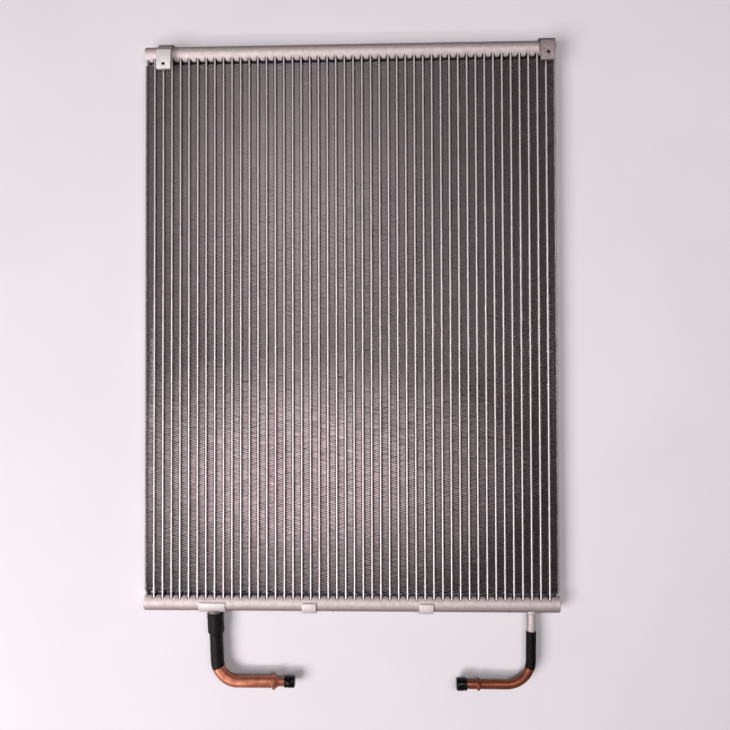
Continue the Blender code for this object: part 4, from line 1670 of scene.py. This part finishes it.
@dataclass
class PipeRun:
    """A pipe drawn out ring by ring from a header, round its bend and along the header.

    Attributes:
        x: Where its axis leaves the header's axis.
        lean: Angle that it leans towards its bend, in degrees.
        drop: Distance from the header's axis to the run along the header.
        bend: Radius of the bend.
        turn_to: 1 if it turns to +X, -1 if it turns to -X.
        sides: Points round the pipe.
        bend_steps: Steps round the bend.
    """

    x: float
    lean: float
    drop: float
    bend: float
    turn_to: int
    sides: int = 40
    bend_steps: int = 18

    def straight(self) -> float:
        """Length from the header's axis to the bend."""
        lean = math.radians(self.lean)
        return (self.drop - self.bend * (1 - math.sin(lean))) / math.cos(lean)

    def bend_length(self) -> float:
        """Length of the bend along its middle."""
        return self.bend * (math.pi / 2 - math.radians(self.lean))

    def at(self, distance: float, place: CoilFrame) -> tuple[Vector, float]:
        """Centre and heading at a distance from the header's axis.

        Args:
            distance: Distance along the pipe.
            place: The measured frame.

        Returns:
            The centre, and the angle turned from straight away from the core.
        """
        lean = math.radians(self.lean)
        start = Vector((self.x, place.axis_y(Side.LOWER), place.axis_z))
        first = Vector((self.turn_to * math.sin(lean), -math.cos(lean), 0))
        straight = self.straight()
        if distance <= straight:
            return start + first * distance, lean
        angle = min(lean + (distance - straight) / self.bend, math.pi / 2)
        across = self.bend * (math.cos(lean) - math.cos(angle))
        down = self.bend * (math.sin(angle) - math.sin(lean))
        centre = start + first * straight + Vector((self.turn_to * across, -down, 0))
        rest = distance - straight - self.bend_length()
        if rest > 0:
            centre = centre + Vector((self.turn_to * rest, 0, 0))
        return centre, angle

    def heading(self, angle: float) -> Vector:
        """Direction of the pipe at an angle turned."""
        return Vector((self.turn_to * math.sin(angle), -math.cos(angle), 0))

    def stops(self, stations: list[tuple[float, float]]) -> list[tuple[float, float]]:
        """Adds stations round the bend between those that are given.

        Args:
            stations: Distances and radii.

        Returns:
            The stations with those of the bend.
        """
        straight, bend = self.straight(), self.bend_length()
        found = [stations[0]]
        for (low, first), (high, second) in zip(stations, stations[1:]):
            for step in range(self.bend_steps + 1):
                stop = straight + bend * step / self.bend_steps
                if low + 0.2 * MM < stop < high - 0.2 * MM:
                    share = (stop - low) / (high - low)
                    found.append((stop, first + (second - first) * share))
            found.append((high, second))
        return found

    def draw(
        self,
        name: str,
        stations: list[tuple[float, float]],
        place: CoilFrame,
        closed_end: bool = False,
    ) -> bpy.types.Object:
        """Draws the pipe's outside from a circle, one extrusion for each station.

        Args:
            name: The piece's name.
            stations: Distances from the header's axis, each with the radius there.
            place: The measured frame.
            closed_end: Whether the far end is closed.

        Returns:
            The piece, open at its near end.
        """
        found = self.stops(stations)
        (distance, radius), rest = found[0], found[1:]
        centre, angle = self.at(distance, place)
        deselect_all()
        bpy.ops.mesh.primitive_circle_add(vertices=self.sides, radius=radius, location=centre)
        piece = bpy.context.object
        piece.name = name
        piece.rotation_mode = "QUATERNION"
        piece.rotation_quaternion = self.heading(angle).to_track_quat("Z", "Y")
        apply_place(piece)
        edit(piece)
        bpy.ops.mesh.select_all(action="SELECT")
        for distance, next_radius in rest:
            next_centre, next_angle = self.at(distance, place)
            bpy.ops.mesh.extrude_region_move(
                TRANSFORM_OT_translate={"value": next_centre - centre}
            )
            self.turn_ring(piece, next_centre, (next_angle - angle) * self.turn_to, next_radius / radius)
            centre, angle, radius = next_centre, next_angle, next_radius
        if closed_end:
            bpy.ops.mesh.edge_face_add()
        bpy.ops.object.mode_set(mode="OBJECT")
        return piece

    def turn_ring(self, piece: bpy.types.Object, centre: Vector, angle: float, growth: float) -> None:
        """Turns and resizes the selected ring about its centre.

        Args:
            piece: The piece in edit mode.
            centre: The ring's centre.
            angle: Turn about Z.
            growth: New radius over old radius.
        """
        shell = bmesh.from_edit_mesh(piece.data)
        ring = [v for v in shell.verts if v.select]
        turn = Matrix.Rotation(angle, 3, "Z") * growth
        for vert in ring:
            vert.co = centre + turn @ (vert.co - centre)
        bmesh.update_edit_mesh(piece.data)


def add_wall(piece: bpy.types.Object, wall: float) -> None:
    """Gives an open shell its wall, inwards.

    Args:
        piece: The shell.
        wall: The wall's thickness.
    """
    mend_normals(piece)
    solid = piece.modifiers.new("wall", "SOLIDIFY")
    solid.thickness = wall
    solid.offset = -1
    solid.use_even_offset = True
    apply_modifiers(piece)


@dataclass
class Wrinkles:
    """Creases in a shrunk sleeve.

    Attributes:
        depth: Depth of the creases.
        size: Distance between them.
    """

    depth: float = 0.45 * MM
    size: float = 4.5 * MM

    def press(self, piece: bpy.types.Object) -> None:
        """Pushes the sleeve's points in and out along their normals.

        Args:
            piece: The sleeve.
        """
        texture = bpy.data.textures.new(f"{piece.name}_creases", "CLOUDS")
        texture.noise_scale = self.size
        texture.noise_depth = 3
        creases = piece.modifiers.new("creases", "DISPLACE")
        creases.texture = texture
        creases.texture_coords = "LOCAL"
        creases.strength = self.depth
        creases.mid_level = 0.75
        apply_modifiers(piece)


def cap_stations(start: float, length: float, radius: float) -> list[tuple[float, float]]:
    """Stations of a moulded cap: rolled lip, shallow waist, barrel and rounded end.

    Args:
        start: Where the cap begins.
        length: Its length.
        radius: Its largest radius.

    Returns:
        Distances and radii.
    """
    lip = 1.7 * MM
    stations = [
        (start, radius - 0.75 * MM),
        (start + 0.15 * MM, radius - 0.35 * MM),
        (start + 0.5 * MM, radius - 0.08 * MM),
        (start + 0.5 * lip, radius),
        (start + lip, radius - 0.2 * MM),
        (start + 1.3 * lip, radius - 0.42 * MM),
        (start + 1.7 * lip, radius - 0.35 * MM),
        (start + 2.2 * lip, radius - 0.1 * MM),
        (start + 3.0 * lip, radius),
    ]
    end = start + length
    round_end = 2.0 * MM
    for turn in (0, 18, 36, 54, 72, 86):
        angle = math.radians(turn)
        stations.append(
            (end - round_end + round_end * math.sin(angle), radius - round_end * (1 - math.cos(angle)))
        )
    return stations


@dataclass
class CappedPipe:
    """A pipe from the lower header to a soft cap, with what the inlet and the outlet share.

    Attributes:
        place: The measured frame.
        palette: The finishes.
        line: Which pipe it is, as its nodes are named.
        run: The pipe's way.
        stub: Radius of the aluminium stub.
        pipe: Radius of the copper pipe.
        slim: Radius of the slim sleeve.
        slim_start: Where that sleeve begins, from the header's axis.
        butt: Where the stub ends and the copper begins.
        bead: Radius of the bead.
        bead_at: Where its crest is, from the end of the bend.
        cap: Radius of the cap.
        cap_at: Where the cap begins, from the end of the bend.
        cap_length: Its length.
        cap_wall: Its wall.
        cap_grip: How far the pipe goes into it.
        joint_gap: Gap between the stub and the copper.
        bend_share: How much of the bend the slim sleeve covers.
        ring: Rise of the sleeve over the joint.
        ring_reach: How far that rise reaches each way.
        sleeve_steps: Steps along the sleeve.
        hem: Drop of the sleeve's far edge to the copper.
        sleeve_wall: Wall of the slim sleeve.
    """

    place: CoilFrame
    palette: Palette
    line: str
    run: PipeRun
    stub: float
    pipe: float
    slim: float
    slim_start: float
    butt: float
    bead: float
    bead_at: float
    cap: float
    cap_at: float
    cap_length: float
    cap_wall: float
    cap_grip: float = 7.0 * MM
    joint_gap: float = 0.3 * MM
    bend_share: float = 0.2
    ring: float = 0.12 * MM
    ring_reach: float = 1.2 * MM
    sleeve_steps: int = 30
    hem: float = 0.25 * MM
    sleeve_wall: float = 0.3 * MM

    def tail(self) -> float:
        """Distance from the header's axis to the end of the bend."""
        return self.run.straight() + self.run.bend_length()

    def slim_stations(self, start: float) -> list[tuple[float, float]]:
        """Stations of the slim sleeve, with a faint ring where the pipes meet under it.

        Args:
            start: Where its even part begins.

        Returns:
            Distances and radii.
        """
        end = self.run.straight() + self.run.bend_length() * self.bend_share
        stations = [(start, self.slim)]
        for step in range(1, self.sleeve_steps + 1):
            distance = start + (end - start) * step / self.sleeve_steps
            near = max(0.0, 1 - abs(distance - self.butt) / self.ring_reach)
            stations.append((distance, self.slim + self.ring * near))
        stations.append((end + self.hem, self.slim - self.hem))
        return stations

    def make_piece(
        self,
        part: str,
        made: str,
        stations: list[tuple[float, float]],
        look: tuple[bpy.types.Material, Slot],
        wall: float,
        smooth: float,
        wrinkles: Wrinkles | None = None,
        closed_end: bool = False,
    ) -> bpy.types.Object:
        """Draws one piece along the pipe and finishes it.

        Args:
            part: What it is, as its node is named after the line.
            made: How it is made, the last word of its name.
            stations: Distances from the header's axis, each with the radius there.
            look: Its material and the record's slot.
            wall: Thickness of its wall.
            smooth: Angle up to which it is shaded smooth, in degrees.
            wrinkles: Its creases, if it has any.
            closed_end: Whether its far end is closed.

        Returns:
            The piece.
        """
        node = f"{self.line}_{part}"
        piece = self.run.draw(f"{node}_{made}", stations, self.place, closed_end)
        if wrinkles is not None:
            mend_normals(piece)
            wrinkles.press(piece)
        add_wall(piece, wall)
        shade(piece, smooth)
        return dress(piece, *look, (node,))

    def build_cap(self) -> bpy.types.Object:
        """The soft cap with a rolled lip.

        Returns:
            The cap.
        """
        stations = cap_stations(self.tail() + self.cap_at, self.cap_length, self.cap)
        look = (self.palette.rubber, Slot.RUBBER)
        return self.make_piece("cap", "moulded", stations, look, self.cap_wall, 50, closed_end=True)


@dataclass
class Inlet(CappedPipe):
    """The large pipe: stub, wrinkled joint sleeve, slim sleeve, copper pipe and cap.

    Attributes:
        collar: Radius of the stub above its welded collar.
        seat: Where the collar leaves the saddle, from the header's axis.
        socket: Radius of the joint sleeve.
        joint_start: Where the joint sleeve begins.
        joint_end: Where it ends.
        taper: Length over which it narrows before that.
        lip: Length of its rounded lip.
        nipple: Radius of the nipple.
    """

    line: str = "inlet"
    run: PipeRun = field(
        default_factory=lambda: PipeRun(-141.4 * MM, 2.6, 81.6 * MM, 22.0 * MM, 1)
    )
    stub: float = 6.0 * MM
    pipe: float = 6.35 * MM
    slim: float = 6.75 * MM
    slim_start: float = 30.0 * MM
    butt: float = 48.3 * MM
    bead: float = 8.6 * MM
    bead_at: float = 36.9 * MM
    cap: float = 6.1 * MM
    cap_at: float = 48.0 * MM
    cap_length: float = 11.0 * MM
    cap_wall: float = 1.3 * MM
    collar: float = 6.2 * MM
    seat: float = 10.3 * MM
    socket: float = 8.45 * MM
    joint_start: float = 10.9 * MM
    joint_end: float = 34.0 * MM
    taper: float = 4.4 * MM
    lip: float = 0.4 * MM
    nipple: float = 4.65 * MM

    def build(self) -> list[bpy.types.Object]:
        """Builds the inlet's pieces.

        Returns:
            The pieces.
        """
        return [
            self.build_stub(),
            self.build_joint_sleeve(),
            self.build_slim_sleeve(),
            self.build_pipe(),
            self.build_cap(),
        ]

    def build_stub(self) -> bpy.types.Object:
        """The aluminium stub with its welded collar.

        Returns:
            The stub.
        """
        stations = [
            (6.0 * MM, self.collar + 1.1 * MM),
            (self.seat - 0.4 * MM, self.collar + 1.1 * MM),
            (self.seat - 0.1 * MM, self.collar + 1.5 * MM),
            (self.seat + 0.3 * MM, self.collar + 1.5 * MM),
            (self.seat + 0.6 * MM, self.collar + 0.6 * MM),
            (self.seat + 1.0 * MM, self.collar),
            (self.seat + 1.2 * MM, self.stub),
            (self.butt, self.stub),
        ]
        look = (self.palette.dull_stub, Slot.HEADER)
        return self.make_piece("stub", "welded", stations, look, 1.2 * MM, 35)

    def build_joint_sleeve(self) -> bpy.types.Object:
        """The wide sleeve, shrunk in folds over the brazed joint.

        Returns:
            The sleeve.
        """
        start, end = self.joint_start, self.joint_end
        taper = end - self.taper
        even = start + self.lip
        steps = 26
        stations = [(start, self.socket - 0.5 * MM), (even, self.socket)]
        for step in range(1, steps + 1):
            stations.append((even + (taper - even) * step / steps, self.socket))
        narrow = 8
        last = self.slim + 0.15 * MM
        for step in range(1, narrow + 1):
            share = step / narrow
            radius = self.socket + (last - self.socket) * (share * share * (3 - 2 * share))
            stations.append((taper + (end - taper) * share, radius))
        look = (self.palette.sleeve, Slot.SLEEVE)
        wrinkles = Wrinkles(depth=0.7 * MM, size=3.2 * MM)
        return self.make_piece("joint_sleeve", "shrunk", stations, look, 0.5 * MM, 60, wrinkles)

    def build_slim_sleeve(self) -> bpy.types.Object:
        """The slim sleeve, from under the joint sleeve into the bend.

        Returns:
            The sleeve.
        """
        look = (self.palette.sleeve, Slot.SLEEVE)
        stations = self.slim_stations(self.slim_start)
        wrinkles = Wrinkles(depth=0.16 * MM, size=6 * MM)
        return self.make_piece("sleeve", "shrunk", stations, look, self.sleeve_wall, 60, wrinkles)

    def build_pipe(self) -> bpy.types.Object:
        """The copper pipe with its rolled bead, cone and nipple.

        Returns:
            The pipe.
        """
        tail = self.tail()
        peak = tail + self.bead_at
        stations = [
            (self.butt + self.joint_gap, self.pipe),
            (tail + 6 * MM, self.pipe),
            (peak - 2.6 * MM, self.pipe),
            (peak - 2.1 * MM, self.pipe - 0.25 * MM),
            (peak - 1.7 * MM, self.pipe + 0.1 * MM),
            (peak - 0.5 * MM, self.bead - 0.5 * MM),
            (peak - 0.1 * MM, self.bead - 0.05 * MM),
            (peak + 0.2 * MM, self.bead - 0.1 * MM),
            (peak + 4.3 * MM, self.nipple + 0.5 * MM),
            (peak + 5.2 * MM, self.nipple),
            (tail + self.cap_at + self.cap_grip, self.nipple),
        ]
        look = (self.palette.copper, Slot.COPPER)
        return self.make_piece("pipe", "drawn", stations, look, 0.9 * MM, 30)


@dataclass
class Outlet(CappedPipe):
    """The small pipe: stub with a weld, sleeve, copper pipe with a bead and cap.

    Attributes:
        lip: Length and drop of the sleeve's near edge.
    """

    line: str = "outlet"
    run: PipeRun = field(
        default_factory=lambda: PipeRun(185.6 * MM, 0.8, 82.3 * MM, 25.0 * MM, -1)
    )
    stub: float = 4.3 * MM
    pipe: float = 4.76 * MM
    slim: float = 5.15 * MM
    slim_start: float = 27.6 * MM
    butt: float = 48.6 * MM
    bead: float = 6.6 * MM
    bead_at: float = 28.6 * MM
    cap: float = 6.6 * MM
    cap_at: float = 40.6 * MM
    cap_length: float = 10.8 * MM
    cap_wall: float = 1.6 * MM
    lip: float = 0.3 * MM

    def build(self) -> list[bpy.types.Object]:
        """Builds the outlet's pieces.

        Returns:
            The pieces.
        """
        return [self.build_stub(), self.build_sleeve(), self.build_pipe(), self.build_cap()]

    def build_stub(self) -> bpy.types.Object:
        """The aluminium stub, flared into its weld.

        Returns:
            The stub.
        """
        stations = [
            (6.2 * MM, self.stub + 1.6 * MM),
            (8.4 * MM, self.stub + 1.4 * MM),
            (8.9 * MM, self.stub + 0.9 * MM),
            (9.6 * MM, self.stub + 0.4 * MM),
            (10.4 * MM, self.stub + 0.1 * MM),
            (11.2 * MM, self.stub),
            (self.butt, self.stub),
        ]
        look = (self.palette.stub, Slot.HEADER)
        return self.make_piece("stub", "welded", stations, look, 1.0 * MM, 35)

    def build_sleeve(self) -> bpy.types.Object:
        """The slim sleeve over the brazed joint.

        Returns:
            The sleeve.
        """
        stations = [(self.slim_start, self.slim - self.lip)]
        stations.extend(self.slim_stations(self.slim_start + self.lip))
        look = (self.palette.dark_sleeve, Slot.SLEEVE)
        wrinkles = Wrinkles(depth=0.14 * MM, size=5 * MM)
        return self.make_piece("sleeve", "shrunk", stations, look, self.sleeve_wall, 60, wrinkles)

    def build_pipe(self) -> bpy.types.Object:
        """The copper pipe with its rolled bead.

        Returns:
            The pipe.
        """
        tail = self.tail()
        peak = tail + self.bead_at
        stations = [
            (self.butt + self.joint_gap, self.pipe),
            (tail + 5 * MM, self.pipe),
            (peak - 2.0 * MM, self.pipe),
            (peak - 1.3 * MM, self.pipe + 0.5 * MM),
            (peak - 0.4 * MM, self.bead - 0.2 * MM),
            (peak + 0.2 * MM, self.bead),
            (peak + 0.8 * MM, self.bead - 0.3 * MM),
            (peak + 1.5 * MM, self.pipe + 0.4 * MM),
            (peak + 2.1 * MM, self.pipe),
            (tail + self.cap_at + self.cap_grip, self.pipe),
        ]
        look = (self.palette.dull_copper, Slot.COPPER)
        return self.make_piece("pipe", "drawn", stations, look, 0.8 * MM, 30)


@dataclass(frozen=True)
class SoftLamp:
    """One rectangular lamp with its long side along X, tilted across it.

    Attributes:
        name: Its name.
        spot: Where it hangs, in metres.
        size: Width and height of its face.
        watts: Its power.
        aim_y: Y on the floor that it faces.
        colour: Its colour.
    """

    name: str
    spot: tuple[float, float, float]
    size: tuple[float, float]
    watts: float
    aim_y: float
    colour: Colour = (1.0, 0.965, 0.985)

    def build(self) -> None:
        """Hangs the lamp."""
        light = bpy.data.lights.new(self.name, "AREA")
        light.shape = "RECTANGLE"
        light.size, light.size_y = self.size
        light.energy = self.watts
        light.color = self.colour
        lamp = bpy.data.objects.new(self.name, light)
        lamp.location = self.spot
        across = Vector((0, self.aim_y - lamp.location.y, -lamp.location.z))
        lamp.rotation_euler = across.to_track_quat("-Z", "Y").to_euler()
        bpy.context.scene.collection.objects.link(lamp)


@dataclass
class Studio:
    """Camera, floor and lights of the photograph.

    Attributes:
        camera_place: The camera, from the core's middle and the ground.
        focal_pixels: Focal length in pixels of the 730-pixel photograph.
        yaw: Turn about Y, in degrees.
        pitch: Turn about X, in degrees.
        roll: Turn about Z, in degrees.
        frame_pixels: Width of the photograph in pixels.
        sensor: Width of the camera's sensor, in millimetres as Blender takes it.
        lamps: The lamps.
        room: Strength of the light from all sides.
        room_colour: Its colour.
        floor_size: Width of the sheet, in metres.
    """

    camera_place: tuple[float, float, float] = (39.2 * MM, -54.3 * MM, 755.0 * MM)
    focal_pixels: float = 716.0
    yaw: float = 1.81
    pitch: float = 1.03
    roll: float = -0.19
    frame_pixels: float = 730.0
    sensor: float = 36.0
    lamps: tuple[SoftLamp, ...] = (
        SoftLamp("key_strip", (-0.79, -0.765, 0.93), (0.93, 0.10), 5.0, aim_y=0.0),
        SoftLamp("far_window", (-3.0, -1.5, 3.2), (3.2, 2.6), 170.0, aim_y=-1.5),
        SoftLamp("right_softbox", (0.35, 0.20, 1.50), (0.8, 0.5), 9.1, aim_y=0.2),
    )
    room: float = 0.04
    room_colour: Colour = (1.0, 0.97, 1.0)
    floor_size: float = 6.0

    def build_camera(self, place: CoilFrame) -> None:
        """Sets the camera where the photograph was taken from.

        Args:
            place: The measured frame.
        """
        camera = bpy.data.objects.new("camera", bpy.data.cameras.new("camera"))
        bpy.context.scene.collection.objects.link(camera)
        x, y, z = self.camera_place
        turn = (
            Matrix.Rotation(math.radians(self.roll), 4, "Z")
            @ Matrix.Rotation(math.radians(self.yaw), 4, "Y")
            @ Matrix.Rotation(math.radians(self.pitch), 4, "X")
        )
        camera.matrix_world = Matrix.Translation((x, y + place.core_y, z)) @ turn
        camera.data.sensor_width = self.sensor
        camera.data.lens = self.sensor * self.focal_pixels / self.frame_pixels
        camera.data.clip_start = 10 * MM
        bpy.context.scene.camera = camera

    def build_floor(self) -> None:
        """Lays the pale sheet under the coil."""
        deselect_all()
        bpy.ops.mesh.primitive_plane_add(size=self.floor_size, location=(0, 0, 0))
        floor = bpy.context.object
        floor.name = "pale_sheet"
        floor.data.materials.append(PaleSheet().make())

    def build_lights(self) -> None:
        """Hangs the lamps, dims the room and shows its light without a film curve."""
        for lamp in self.lamps:
            lamp.build()
        world = bpy.data.worlds.new("room")
        world.use_nodes = True
        background = world.node_tree.nodes["Background"]
        background.inputs["Color"].default_value = (*self.room_colour, 1)
        background.inputs["Strength"].default_value = self.room
        bpy.context.scene.world = world
        bpy.context.scene.view_settings.view_transform = "Standard"

    def build(self, place: CoilFrame) -> None:
        """Builds the whole stage.

        Args:
            place: The measured frame.
        """
        self.build_camera(place)
        self.build_floor()
        self.build_lights()


def dress_hidden_nodes(palette: Palette) -> None:
    """Gives the CAD nodes that stay their finish: the baffles' edges.

    Args:
        palette: The finishes.
    """
    for number in (1, 2, 3):
        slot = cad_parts[f"baffle_{number}"].material_slots[0]
        slot.link = "OBJECT"
        slot.material = palette.header


def main() -> None:
    """Builds the coil's pieces in order and reports each one."""
    logging.basicConfig(level=logging.INFO, format="%(message)s")
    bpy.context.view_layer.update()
    place = CoilFrame.measure()
    Studio().build(place)
    palette = Palette(place)

    tubes = FlatTubes()
    LOG.info("flat tubes: %d", len(tubes.build(place, palette)))
    fins = FinStrips(tubes)
    LOG.info("fin strips: %d", len(fins.build(place, palette)))

    for side in Side:
        node = f"{side.name.lower()}_header"
        header = DomedHeader(side, node, tubes).build(place, palette)
        LOG.info("%s: %d faces", header.name, len(header.data.polygons))
        for name, end in (("left", -1), ("right", 1)):
            cap = EndCap(f"{side.name.lower()}_{name}_end_cap", side, end).build(place, palette)
            LOG.info("%s", cap.name)

    rounded = (
        SoftenedNode("left_side_plate", Slot.CORE, 0.3 * MM),
        SoftenedNode("right_side_plate", Slot.CORE, 0.3 * MM),
        SoftenedNode("left_bracket", Slot.BRACKET, 0.3 * MM),
        SoftenedNode("right_bracket", Slot.BRACKET, 0.3 * MM),
        SoftenedNode("left_clip", Slot.BRACKET, 0.4 * MM),
        SoftenedNode("right_clip", Slot.BRACKET, 0.4 * MM),
        SoftenedNode("inlet_saddle", Slot.BRACKET, 0.3 * MM),
    )
    finishes = {
        "left_side_plate": palette.plate,
        "right_side_plate": palette.plate,
        "left_bracket": palette.pad,
        "right_bracket": palette.shaded_pad,
    }
    for part in rounded:
        LOG.info("%s", part.build(finishes.get(part.node, palette.bracket)).name)

    for line in (Inlet(place, palette), Outlet(place, palette)):
        for piece in line.build():
            LOG.info("%s: %d faces", piece.name, len(piece.data.polygons))

    dress_hidden_nodes(palette)
    deselect_all()


if __name__ == "__main__":
    main()
